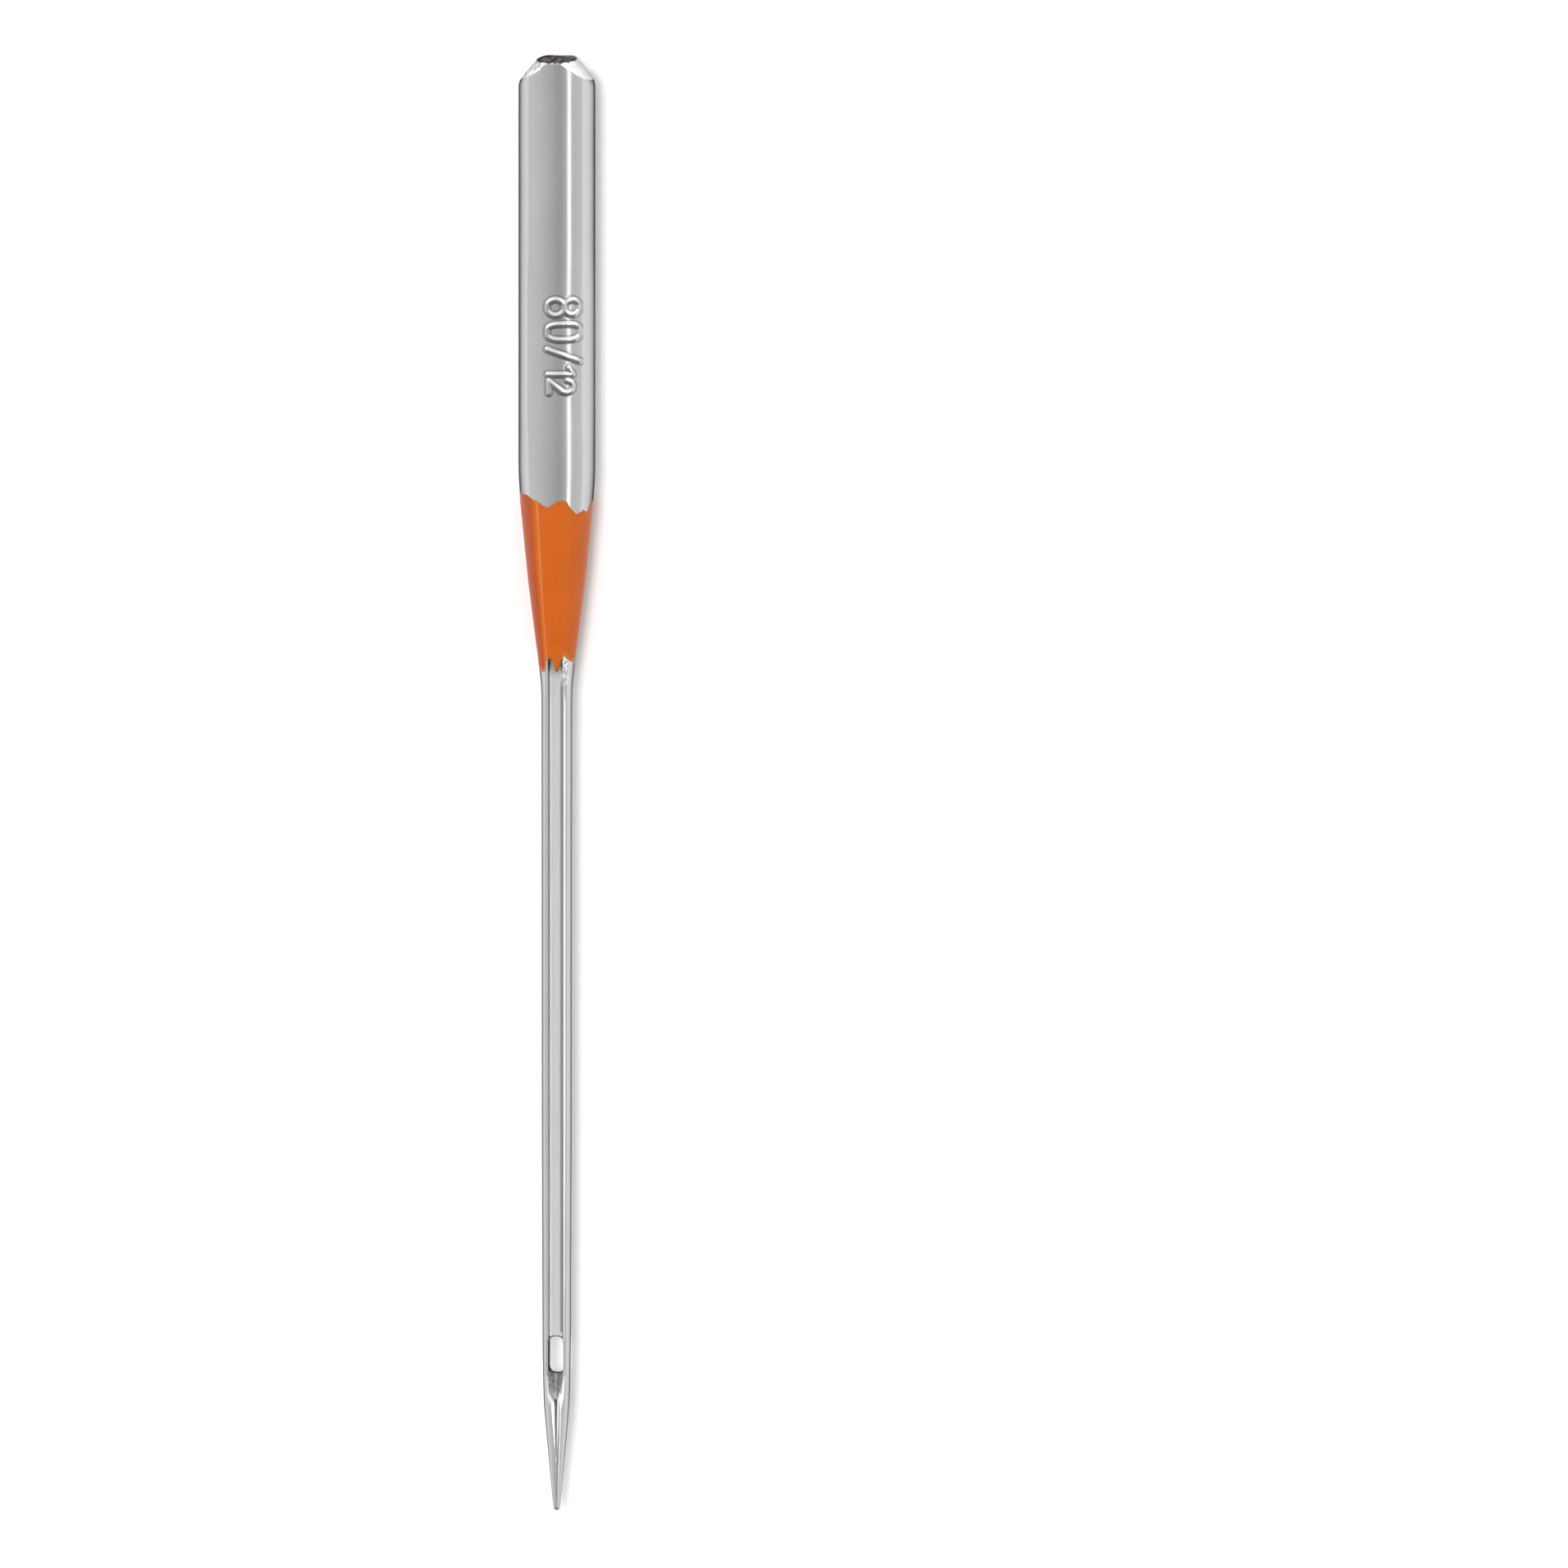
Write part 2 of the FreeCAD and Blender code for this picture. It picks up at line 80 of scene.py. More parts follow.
SB, RB = LENGTH - 0.090, 0.090       # centre and radius of the tip's ball
SLOPE = 0.0952
ST, RT = SB + RB * math.sin(math.atan(SLOPE)), RB * math.cos(math.atan(SLOPE))
OUT = table([(0, RS), (10.55, RS), (11.0, 1.006), (11.48, 0.976), (11.91, 0.941), (12.56, 0.878), (13.21, 0.813),
             (13.64, 0.769), (14.07, 0.7185), (14.50, 0.666), (14.94, 0.611), (15.37, 0.5545), (15.80, 0.498),
             (16.02, 0.473), (16.23, 0.450), (16.45, 0.428), (16.66, 0.411), (16.95, 0.403), (17.6, 0.401),
             (19.0, 0.400), (22.3, 0.3965), (27.8, 0.393), (30.9, 0.382), (33.9, 0.372), (34.4, 0.366),
             (34.8, 0.360), (35.2, 0.352), (35.7, 0.335), (ST, RT), (40.0, RT - SLOPE * (40 - ST))], 0.10)
DOUT = np.gradient(OUT, 0.005)
GW, FLOOR, G_FULL, G_CUT = 0.185, 0.14, 16.45, 1.985      # long groove
G_ROUND = 0.075
ZF = FLOOR + np.where(S < G_FULL, G_CUT - np.sqrt(np.maximum(G_CUT ** 2 - (G_FULL - S) ** 2, 0.04)), 0.0)
DZF = np.gradient(ZF, 0.005)
ZS = table([(20.0, -3.0), (25.6, -0.567), (27.00, -0.437), (29.15, -0.238), (32.35, -0.238), (33.45, -0.300), (39.6, -0.300)], 0.22)
DZS = np.gradient(ZS, 0.005)
ZQ = line([(33.20, -0.300), (33.65, -0.225), (35.10, -0.225), (35.60, -0.320)], 0.05)
QW = 0.16
VF = line([(34.60, 0.050), (35.38, 0.165), (35.66, 0.325)], 0.04)      # ramp: its keel
VM = table([(34.60, 1.276), (34.85, 1.163), (35.10, 1.042), (35.38, 0.897), (35.52, 0.912), (35.66, 1.0)], 0.03)
VE = table([(34.8, 0.05), (35.4, 0.03), (35.62, 0.012)], 0.05)
CM = table([(35.4, 2.47), (37.5, 3.5)], 0.0)              # crease
CF = line([(35.40, 0.235), (37.50, 0.170)], 0.0)
SF = line([(35.35, 0.2814), (37.10, 0.2037)], 0.0)       # shoulders
EYE0, EYE1, EW, EC = 33.86, 34.83, 0.20, 0.165            # eye
EM, EH = (EYE0 + EYE1) / 2, (EYE1 - EYE0) / 2


def at(t, s):
    return np.interp(s, S, t)


def smax(a, b, k):
    return np.maximum(a, b) + np.maximum(k - np.abs(a - b), 0.0) ** 2 / (4 * k)


def ease(x):
    x = np.clip(x, 0.0, 1.0)
    return x * x * (3 - 2 * x)


# ----------------------------------------------------- stamped size numbers
# Plain strokes: u runs along the needle in reading direction (butt to point),
# v across it, towards the tops of the characters. Both in millimetres.
def ring(u, v, a, b, power=2.0):
    t = np.linspace(0, 2 * math.pi, 140)
    c, s = np.cos(t), np.sin(t)
    return np.stack([u + a * np.sign(c) * np.abs(c) ** (2 / power), v + b * np.sign(s) * np.abs(s) ** (2 / power)], 1)


def stroke(points):
    p = np.array(points, float)
    out = []
    for a, b in zip(p[:-1], p[1:]):
        n = max(2, int(np.hypot(*(b - a)) / 0.01))
        out.append(a + (b - a) * np.linspace(0, 1, n)[:, None])
    return np.concatenate(out)


def arc(u, v, a, b, t0, t1):
    t = np.radians(np.linspace(t0, t1, 90))
    return np.stack([u + a * np.cos(t), v + b * np.sin(t)], 1)


STROKES = np.concatenate([
    ring(6.51, -0.080, 0.215, 0.225), ring(6.51, 0.375, 0.200, 0.215),                     # 8
    ring(7.185, 0.150, 0.215, 0.450, 3.0),                                                 # 0
    stroke([(7.660, -0.300), (8.000, 0.600)]),                                             # /
    stroke([(8.345, -0.285), (8.345, 0.390), (8.165, 0.270)]),                             # 1
    stroke([(8.520, -0.255), (8.860, -0.255)]), stroke([(8.520, -0.255), (8.800, 0.080)]), # 2
    arc(8.675, 0.200, 0.165, 0.200, -45, 172)])
STROKES[:, 0] = 7.61 + 0.965 * (STROKES[:, 0] - 7.685)
STROKES[:, 1] = 1.032 * STROKES[:, 1] + 0.047
DU, DV = np.arange(5.9, 9.5, 0.008), np.arange(-0.80, 1.10, 0.008)
gu, gv = np.meshgrid(DU, DV, indexing="ij")
near = np.full(gu.size, 9.0)
for k in range(0, len(STROKES), 60):
    c = STROKES[k:k + 60]
    near = np.minimum(near, np.sqrt(((gu.ravel()[:, None] - c[:, 0]) ** 2 + (gv.ravel()[:, None] - c[:, 1]) ** 2).min(1)))
near = near.reshape(gu.shape)
# The press has sunk a wide shallow field; each stroke is a bead that stands up
# to the shank's own surface, with a fine line on each side of it.
BEAD = 1 - np.exp(-(near / 0.050) ** 2)
LINE = 0.007 * np.exp(-((near - 0.098) / 0.026) ** 2)


def sunk(phi, s, line_shade=False):
    """Depth of the stamping at an angle from the front and a station, or how near a line beside a bead is, which is the
    mask for the painted shade in those lines.
    """
    v = RS * (phi - math.radians(6.0))
    wide = 0.027 * ease((s - 5.1) / 1.1) * ease((10.3 - s) / 1.2) * ease((v + 1.10) / 0.75) * ease((1.50 - v) / 0.75)
    i = (s - DU[0]) / 0.008
    j = (v - DV[0]) / 0.008
    ok = (i >= 0) & (i < len(DU) - 1) & (j >= 0) & (j < len(DV) - 1)
    i, j = np.where(ok, i, 0.0), np.where(ok, j, 0.0)
    i0, j0 = i.astype(int), j.astype(int)
    fi, fj = i - i0, j - j0
    b, c = [g[i0, j0] * (1 - fi) * (1 - fj) + g[i0 + 1, j0] * fi * (1 - fj) + g[i0, j0 + 1] * (1 - fi) * fj
            + g[i0 + 1, j0 + 1] * fi * fj for g in (BEAD, LINE)]
    c = np.where(ok, c, 0.0)
    return c / 0.007 if line_shade else wide * np.where(ok, b, 1.0) + c


# --------------------------------------------------------- edges of the paint
PHI = np.radians(np.arange(-180, 180.5, 0.5))


def ragged(front, level, size, fine):
    """Station of a paint edge over PHI: given points on the front, wandering elsewhere."""
    f = np.array(front, float)
    f[:, 0] = np.radians(f[:, 0])
    base = level + np.zeros_like(PHI)
    for n, a in ((2, 0.9), (3, 1.0), (5, 0.8), (8, 0.5), (13, 0.3)):
        base += size * a * np.sin(n * PHI + rng.uniform(0, 6.28))
    seen = np.interp(PHI, f[:, 0], f[:, 1])
    k = np.exp(-0.5 * (np.arange(-12, 13) * 0.5 / 1.6) ** 2)
    seen = np.convolve(np.pad(seen, 12, mode="edge"), k / k.sum(), mode="valid")
    w = ease((np.abs(PHI) - math.radians(70)) / math.radians(16))
    out = seen * (1 - w) + base * w
    for n in range(14, 62, 5):
        out += fine * rng.normal() * (40 / (20 + n)) * np.sin(n * PHI + rng.uniform(0, 6.28))
    out[-1] = out[0]
    return out - 0.06


TOP = ragged([(-84, 11.44), (-73, 11.48), (-42, 11.56), (-28, 11.66), (-17, 11.77), (-7, 11.80), (2, 11.74), (8, 11.65),
              (15, 11.60), (22, 11.67), (26, 11.80), (32, 11.93), (39, 11.99), (46, 11.98), (52, 11.93), (63, 11.99),
              (74, 11.78), (84, 11.56)], 11.72, 0.07, 0.006)
LOW = ragged([(-84, 16.12), (-66, 16.22), (-52, 16.27), (-40, 16.26), (-33, 16.20), (-30, 15.95), (-22, 15.93), (-14, 15.96),
              (-8, 16.03), (-3, 16.20), (3, 16.31), (9, 16.26), (15, 16.18), (19, 16.04), (24, 15.86), (31, 15.84),
              (38, 15.90), (48, 15.95), (60, 16.00), (80, 15.98)], 16.08, 0.08, 0.007)


def inside_paint(phi, s):
    """Distance along the needle from the nearer edge of the paint, positive inside."""
    return np.minimum(s - np.interp(phi, PHI, TOP), np.interp(phi, PHI, LOW) - s)


# --------------------------------------------------------------- the surface
def field(x, s, z, eye=True, paint=True, groove=True):
    """Signed distance, nearly, from the needle's surface; negative inside."""
    rho = np.hypot(x, z)
    phi = np.arctan2(x, z)
    r = at(OUT, s) - sunk(phi, s)
    if paint:
        e = inside_paint(phi, s)
        under = np.where(np.abs(phi) > 2.2, ease((e + 0.03) / 0.06), ease((e - 0.03) / 0.12))
        r = r - 0.014 * under
    d = (rho - r) / np.sqrt(1 + at(DOUT, s) ** 2)
    d = np.where(s > ST, np.hypot(rho, s - SB) - RB, d)
    flat = -z - FLAT
    if paint:
        flat = flat + 0.014 * under
    d = smax(d, flat, 0.035)
    # narrow flat shoulders beside the long groove and the eye
    fac = ease((s - 16.55) / 0.5) * ease((35.75 - s) / 0.5)
    shoulder = np.abs(x) * 0.4305 + z * 0.9026 - at(OUT, s) * (1 - 0.0545 * fac)
    d = np.where((fac > 0) & (z > 0), smax(d, shoulder, 0.008), d)
    # side bevels of the butt: an elliptic cone about the axis
    a, b = 0.514 + 0.827 * s, 1.05 + 0.75 * s
    q = np.sqrt((x / a) ** 2 + (z / b) ** 2) + 1e-6
    g = np.sqrt((x / a ** 2) ** 2 + (z / b ** 2) ** 2 + (0.827 * x * x / a ** 3 + 0.75 * z * z / b ** 3) ** 2) / q
    cone = np.where((s < 1.6) & (s > -0.4), (q - 1) / np.maximum(g, 0.2), -1.0)
    d = smax(d, cone, 0.018 + 0.085 * ease((np.abs(x) - 0.74) / 0.24))
    d = smax(d, -s, 0.032)
    # long groove
    if groove:
        qx, qz = np.abs(x) - (GW - G_ROUND), at(ZF, s) + G_ROUND - z
        u = np.hypot(np.maximum(qx, 0), np.maximum(qz, 0)) + np.minimum(np.maximum(qx, qz), 0) - G_ROUND
        u = u / np.sqrt(1 + at(DZF, s) ** 2)
        u = np.maximum(u, (s - 34.60) * 0.2)
        d = smax(d, -u, 0.026)
    # scarf and short groove on the back
    zs = at(ZS, s)
    d = smax(d, (zs - z) / np.sqrt(1 + at(DZS, s) ** 2), 0.030)
    d = smax(d, -np.maximum(np.abs(x) - QW, z - at(ZQ, s)), 0.025)
    # ramp below the eye, its shallow shoulders, and the crease
    for m, f, e, s0, s1, k in ((VM, VF, VE, 34.62, 35.95, 0.020), (CM, CF, None, 35.10, 37.60, 0.006)):
        mm = at(m, s)
        ee = 0.006 if e is None else at(e, s)
        ax = np.sqrt(x * x + ee * ee) - ee
        v = (at(f, s) + mm * ax - z) / np.sqrt(1 + mm * mm)
        v = np.maximum(v, np.maximum(s0 - s, s - s1))
        d = smax(d, -v, k)
    m = 0.46
    v = (at(SF, s) + m * (np.sqrt(x * x + 0.0001) - 0.01) - z) / math.sqrt(1 + m * m)
    v = np.maximum(v, np.maximum(35.2 - s, s - 37.45))
    d = smax(d, -v, 0.008)
    if eye:
        qx, qs = np.abs(x) - (EW - EC), np.abs(s - EM) - (EH - EC)
        h = np.hypot(np.maximum(qx, 0), np.maximum(qs, 0)) + np.minimum(np.maximum(qx, qs), 0) - EC
        d = smax(d, -h, 0.030)
    return d


def settle(p, steps, planar=False, eye=True):
    """Newton steps onto the surface. planar keeps each point at its station."""
    h = 4e-4
    for _ in range(steps):
        x, s, z = p[:, 0], p[:, 1], p[:, 2]
        f = field(x, s, z, eye)
        gx = (field(x + h, s, z, eye) - field(x - h, s, z, eye)) / (2 * h)
        gz = (field(x, s, z + h, eye) - field(x, s, z - h, eye)) / (2 * h)
        gs = 0 * gx if planar else (field(x, s + h, z, eye) - field(x, s - h, z, eye)) / (2 * h)
        g2 = np.maximum(gx * gx + gs * gs + gz * gz, 0.25)
        step = np.clip(f, -0.05, 0.05) / g2
        p = p - np.stack([step * gx, step * gs, step * gz], 1)
    return p


# ------------------------------------------------------------------ the rows
def spaced(s0, s1, control):
    """Stations from s0 to s1 with the spacing that control gives."""
    c = np.array(control, float)
    g = np.linspace(s0, s1, 20001)
    w = 1 / np.interp(g, c[:, 0], c[:, 1])
    cum = np.concatenate([[0], np.cumsum((w[1:] + w[:-1]) / 2 * np.diff(g))])
    return np.interp(np.linspace(0, cum[-1], int(round(cum[-1])) + 1), cum, g)


UP = spaced(0.04, 33.835, [(0, 0.018), (0.8, 0.024), (1.1, 0.09), (1.6, 0.20), (5.3, 0.20), (5.8, 0.07), (6.12, 0.0185), (9.02, 0.0185),
                           (9.5, 0.15), (11.1, 0.12), (11.4, 0.05), (12.2, 0.05), (12.6, 0.12), (15.0, 0.12), (15.6, 0.045),
                           (16.8, 0.045), (17.8, 0.09), (19.0, 0.22), (26.3, 0.22), (27.2, 0.08), (29.4, 0.10), (32.2, 0.12),
                           (33.1, 0.05), (33.5, 0.03), (34.0, 0.025)])
NE = 28
MID = np.linspace(33.835, 34.855, NE + 1)[1:]
DOWN = spaced(34.855, SB - 0.02, [(34.8, 0.026), (35.8, 0.026), (36.2, 0.038), (37.4, 0.040), (38.5, 0.055)])[1:]
rows = np.concatenate([UP, MID, DOWN])
I0 = len(UP) - 1
I1 = I0 + NE
JE, JS, JB = 28, 20, 28
NC = 2 * (JE + JS + JB)

# --------------------------------------------------------------- the columns
n = len(rows)
R = at(OUT, rows)
phi0 = np.radians(14.5) * (1 - ease((rows - 9.2) / 2.0))
psi = np.radians(table([(9.2, 33.5), (11.4, 36.0), (15.8, 37.0), (17.0, 45.0), (32.2, 45.0), (33.0, 37.5)], 0.15)[np.searchsorted(S, rows)])


def resample(px, pz, count, bias=1.0):
    """Points at equal steps along each row's polyline (n, k)."""
    seg = np.hypot(np.diff(px, axis=1), np.diff(pz, axis=1)) + 1e-9
    cum = np.concatenate([np.zeros((len(px), 1)), np.cumsum(seg, 1)], 1)
    t = np.linspace(0, 1, count + 1) ** bias
    ox, oz = np.empty((len(px), count + 1)), np.empty((len(px), count + 1))
    for i in range(len(px)):
        q = t * cum[i, -1]
        ox[i], oz[i] = np.interp(q, cum[i], px[i]), np.interp(q, cum[i], pz[i])
    return ox, oz


FAC = ease((rows - 16.55) / 0.5) * ease((35.75 - rows) / 0.5)
BETA = math.atan2(0.4305, 0.9026)


def capped(phi, r, fac):
    """Radius r at angle phi, lowered to the flat shoulders beside the long groove."""
    c = np.cos(np.abs(phi) - BETA)
    flat_r = r * (1 - 0.0545 * fac) / np.where(c > 0.5, c, 0.5)
    return np.where((fac > 0) & (c > 0.5), np.minimum(r, flat_r), r)


def polar(phi):
    """Outer outline without grooves at angles (n, k)."""
    r = capped(phi, np.broadcast_to(R[:, None], phi.shape).copy(), FAC[:, None])
    plane = np.where(rows < 14.2, -FLAT, at(ZS, rows))[:, None]
    c = np.cos(phi)
    hit = c < -1e-3
    r = np.where(hit, np.minimum(r, plane / np.where(hit, c, -1.0)), r)
    s = rows[:, None]
    a, b = 0.514 + 0.827 * s, 1.05 + 0.75 * s
    e = 1 / np.sqrt((np.sin(phi) / a) ** 2 + (c / b) ** 2)
    return np.where(s < 1.2, np.minimum(r, e), r)


def front_half(sign):
    """Centre of the front to anchor A, on the side of sign."""
    end = (phi0 * sign + psi)[:, None]
    # bottom and side of the groove or of the ramp, as far as the outline
    k = 120
    ramp = rows > 34.45
    t = np.linspace(0, 1, k)[None, :]
    zf = at(ZF, rows)[:, None]
    gx = GW * np.minimum(t * 2.0, 1.0) + 0 * zf
    gz = zf + np.maximum(t * 2.0 - 1, 0) * 0.6
    vf, vm = at(VF, rows)[:, None], at(VM, rows)[:, None]
    vx = 0.45 * t
    vz = vf + vm * vx
    sx, sz = np.where(ramp[:, None], vx, gx), np.where(ramp[:, None], vz, gz)
    out = np.hypot(sx, sz) - capped(np.arctan2(sx, sz), R[:, None], FAC[:, None])
    first = np.where((out > 0).any(1), np.argmax(out > 0, 1), k - 1)
    ax, az = np.empty((n, 60)), np.empty((n, 60))
    for i in range(n):
        m = first[i]
        if m == 0 or rows[i] < 15.0:
            rim = phi0[i] * sign
            bx, bz = np.full(30, 0.0), np.full(30, 0.0)
            bx[:], bz[:] = R[i] * math.sin(rim), R[i] * math.cos(rim)
        else:
            f = out[i, m - 1] / (out[i, m - 1] - out[i, m])
            ex = sx[i, m - 1] + f * (sx[i, m] - sx[i, m - 1])
            ez = sz[i, m - 1] + f * (sz[i, m] - sz[i, m - 1])
            q = np.linspace(0, 1, 30) * (m - 1 + f)
            bx, bz = np.interp(q, np.arange(k), sx[i]), np.interp(q, np.arange(k), sz[i])
            rim = math.atan2(ex, ez)
        a = np.linspace(rim, max(end[i, 0], rim + 0.02), 30)
        q = capped(a, R[i], FAC[i])
        ax[i], az[i] = np.concatenate([bx, q * np.sin(a)]), np.concatenate([bz, q * np.cos(a)])
    x, z = resample(ax, az, JE)
    return x, z, end


def side(end):
    """Anchor A to anchor B, by angle, closer together towards B."""
    b = np.radians(table([(14.0, 137.1), (33.4, 137.1), (33.8, 142.5)], 0.05)[np.searchsorted(S, rows)])[:, None]
    t = 1 - (1 - np.linspace(0, 1, JS + 1)) ** 1.25
    phi = end + (b - end) * t[None, :]
    r = polar(phi)
    return r * np.sin(phi), r * np.cos(phi), b


def back_half(b):
    """Anchor B to the centre of the back."""
    t = np.linspace(0, 1, 60)
    phi = b + (math.pi - b) * t[None, :]
    r = polar(phi)
    x, z = r * np.sin(phi), r * np.cos(phi)
    zq = at(ZQ, rows)
    for i in range(n):
        if 32.8 < rows[i] < 35.9 and zq[i] > z[i, -1]:
            zb = z[i, -1]
            cut = x[i] > QW
            m = int(cut.sum())
            px = np.concatenate([x[i][cut], [QW], [QW], [0.0]])
            pz = np.concatenate([z[i][cut], [zb], [zq[i]], [zq[i]]])
            q = np.linspace(0, len(px) - 1, 60)
            seg = np.hypot(np.diff(px), np.diff(pz)) + 1e-9
            cum = np.concatenate([[0], np.cumsum(seg)])
            q = np.linspace(0, cum[-1], 60)
            x[i], z[i] = np.interp(q, cum, px), np.interp(q, cum, pz)
    return resample(x, z, JB)


GX, GZ = np.empty((n, NC)), np.empty((n, NC))
for sign in (1, -1):
    fx, fz, end = front_half(sign)
    mx, mz, b = side(end)
    bx, bz = back_half(b)
    hx = np.concatenate([fx[:, :-1], mx[:, :-1], bx], 1)
    hz = np.concatenate([fz[:, :-1], mz[:, :-1], bz], 1)
    cols = np.arange(NC // 2 + 1) if sign > 0 else (-np.arange(NC // 2 + 1)) % NC
    keep = slice(0, NC // 2 + 1) if sign > 0 else slice(1, NC // 2)
    if sign > 0:
        GX[:, cols] = hx
        GZ[:, cols] = hz
    else:
        GX[:, cols[keep]] = -hx[:, keep]
        GZ[:, cols[keep]] = hz[:, keep]

# ------------------------------------------- rows bend round the eye's corners
LIFT = 0.025


def outline_s(x, grow):
    """How far the eye's end has moved from its middle at x, on the outline grown by grow."""
    c, w = EC + grow, EW + grow
    q = np.clip(np.abs(x) - (w - c), 0, c)
    return c - np.sqrt(np.maximum(c * c - q * q, 0))


GS = np.repeat(rows[:, None], NC, 1)
col = np.minimum(np.arange(NC), NC - np.arange(NC))         # 0 front centre, NC/2 back centre
front, back = col <= JE, col >= NC // 2 - JB
side_t = np.clip((col - JE) / JS, 0, 1)
full = outline_s(np.array([EW + LIFT]), LIFT)[0]
bend_top = np.where(front, outline_s(GX[I0], LIFT), np.where(back, outline_s(GX[I0], LIFT), full * np.cos(math.pi * side_t) ** 2))
bend_low = np.where(front, outline_s(GX[I1], LIFT), np.where(back, outline_s(GX[I1], LIFT), full * np.cos(math.pi * side_t) ** 2))
for i in range(n):
    if rows[i] < 33.2 or rows[i] > 35.5:
        continue
    if i < I0:
        GS[i] += bend_top * ease((rows[i] - 33.25) / (rows[I0] - 33.25)) ** 1.5
    elif i > I1:
        GS[i] -= bend_low * ease((35.45 - rows[i]) / (35.45 - rows[I1])) ** 1.5
    else:
        t = (i - I0) / (I1 - I0)
        GS[i] = (rows[I0] + bend_top) * (1 - t) + (rows[I1] - bend_low) * t

P = np.stack([GX, GS, GZ], 2).reshape(-1, 3)
P = settle(P, 6, planar=True, eye=False)


def outline_point(k, grow):
    """Point on the eye's outline, grown by grow, for k in loop order: end rows then sides."""
    x, s = k[:, 0], k[:, 1] - EM
    cx, cs = EW - EC, EH - EC
    qx, qs = np.sign(x) * np.minimum(np.abs(x), cx), np.sign(s) * np.minimum(np.abs(s), cs)
    dx, ds = x - qx, s - qs
    ln = np.hypot(dx, ds) + 1e-9
    return qx + dx / ln * (EC + grow), EM + qs + ds / ln * (EC + grow)


index = np.arange(n * NC).reshape(n, NC)
js = np.arange(-JE, JE + 1)
loop_front = np.concatenate([index[I0, js % NC], index[I0 + 1:I1, JE], index[I1, js[::-1] % NC], index[I0 + 1:I1, -JE][::-1]])
bc = (NC // 2 - js) % NC
loop_back = np.concatenate([index[I0, bc], index[I0 + 1:I1, NC // 2 - JE], index[I1, bc[::-1]], index[I0 + 1:I1, NC // 2 + JE][::-1]])
a, b = P[loop_front], P[loop_back]
WALL = 9
rings = []
for m in range(WALL):
    t = (m + 0.5) / WALL
    t = 0.5 - 0.5 * math.cos(math.pi * t)
    mid = a * (1 - t) + b * t
    x, s = outline_point(mid, 0.0)
    mid[:, 0], mid[:, 1] = x, s
    mid[:, 2] = (a[:, 2] - 0.025) * (1 - t) + (b[:, 2] + 0.025) * t
    rings.append(mid)
base = len(P)
P = np.concatenate([P] + rings)

# ------------------------------------------------------- butt cap and the tip
caps = []
first = P[index[0]]
for f in (0.985, 0.965, 0.93, 0.87, 0.78, 0.66, 0.52, 0.37, 0.22, 0.09):
    c = first.copy()
    c[:, 0] *= f
    c[:, 2] = 0.10 + (c[:, 2] - 0.10) * f
    c[:, 1] = 0.0
    caps.append(c)
cap_base = len(P)
P = np.concatenate([P] + caps)
tips = []
last = P[index[-1]]
ang = np.arctan2(last[:, 0], last[:, 2])
for tau in (8, 20, 32, 44, 56, 67, 77):
    t = math.radians(tau)
    tips.append(np.stack([RB * math.cos(t) * np.sin(ang), np.full(NC, SB + RB * math.sin(t)), RB * math.cos(t) * np.cos(ang)], 1))
tip_base = len(P)
P = np.concatenate([P] + tips)
P = settle(P, 5)
pole_butt, pole_tip = len(P), len(P) + 1
P = np.concatenate([P, [[0.0, 0.0, 0.10], [0.0, LENGTH, 0.0]]])

# ------------------------------------------------------------------ the faces
nxt = np.roll(np.arange(NC), -1)


def strip(lower, upper):
    return np.stack([lower, lower[nxt], upper[nxt], upper], 1)


quads = []
in_front = np.isin(np.arange(NC), js[:-1] % NC)
in_back = np.isin(np.arange(NC), np.arange(NC // 2 - JE, NC // 2 + JE))
for i in range(n - 1):
    q = strip(index[i], index[i + 1])
    if I0 <= i < I1:
        q = q[~(in_front | in_back)]
    quads.append(q)
L = len(loop_front)
ln = np.roll(np.arange(L), -1)
chain = [loop_front] + [base + m * L + np.arange(L) for m in range(WALL)] + [loop_back]
for p, q in zip(chain[:-1], chain[1:]):
    quads.append(np.stack([p, p[ln], q[ln], q], 1))
chain = [index[0]] + [cap_base + m * NC + np.arange(NC) for m in range(len(caps))]
for p, q in zip(chain[:-1], chain[1:]):
    quads.append(strip(q, p))
butt_last = chain[-1]
chain = [index[-1]] + [tip_base + m * NC + np.arange(NC) for m in range(len(tips))]
for p, q in zip(chain[:-1], chain[1:]):
    quads.append(strip(p, q))
tip_last = chain[-1]
quads = np.concatenate(quads)
tris = np.concatenate([np.stack([butt_last, butt_last[nxt], np.full(NC, pole_butt)], 1),
                       np.stack([tip_last, tip_last[nxt], np.full(NC, pole_tip)], 1)])


def world(p):
    return np.stack([p[:, 0], LENGTH / 2 - p[:, 1], p[:, 2] + FLAT], 1) / 1000.0


def make(name, pts, faces4, faces3=None):
    """Mesh object from vertices in metres."""
    used = np.unique(np.concatenate([faces4.ravel()] + ([faces3.ravel()] if faces3 is not None else [])))
    renum = np.full(len(pts), -1)
    renum[used] = np.arange(len(used))
    me = bpy.data.meshes.new(name)
    f = [tuple(q) for q in renum[faces4].tolist()]
    if faces3 is not None:
        f += [tuple(q) for q in renum[faces3].tolist()]
    me.from_pydata(pts[used].tolist(), [], f)
    me.validate()
    me.polygons.foreach_set("use_smooth", np.ones(len(me.polygons), bool))
    me.update()
    ob = bpy.data.objects.new(name, me)
    bpy.context.scene.collection.objects.link(ob)
    return ob, used


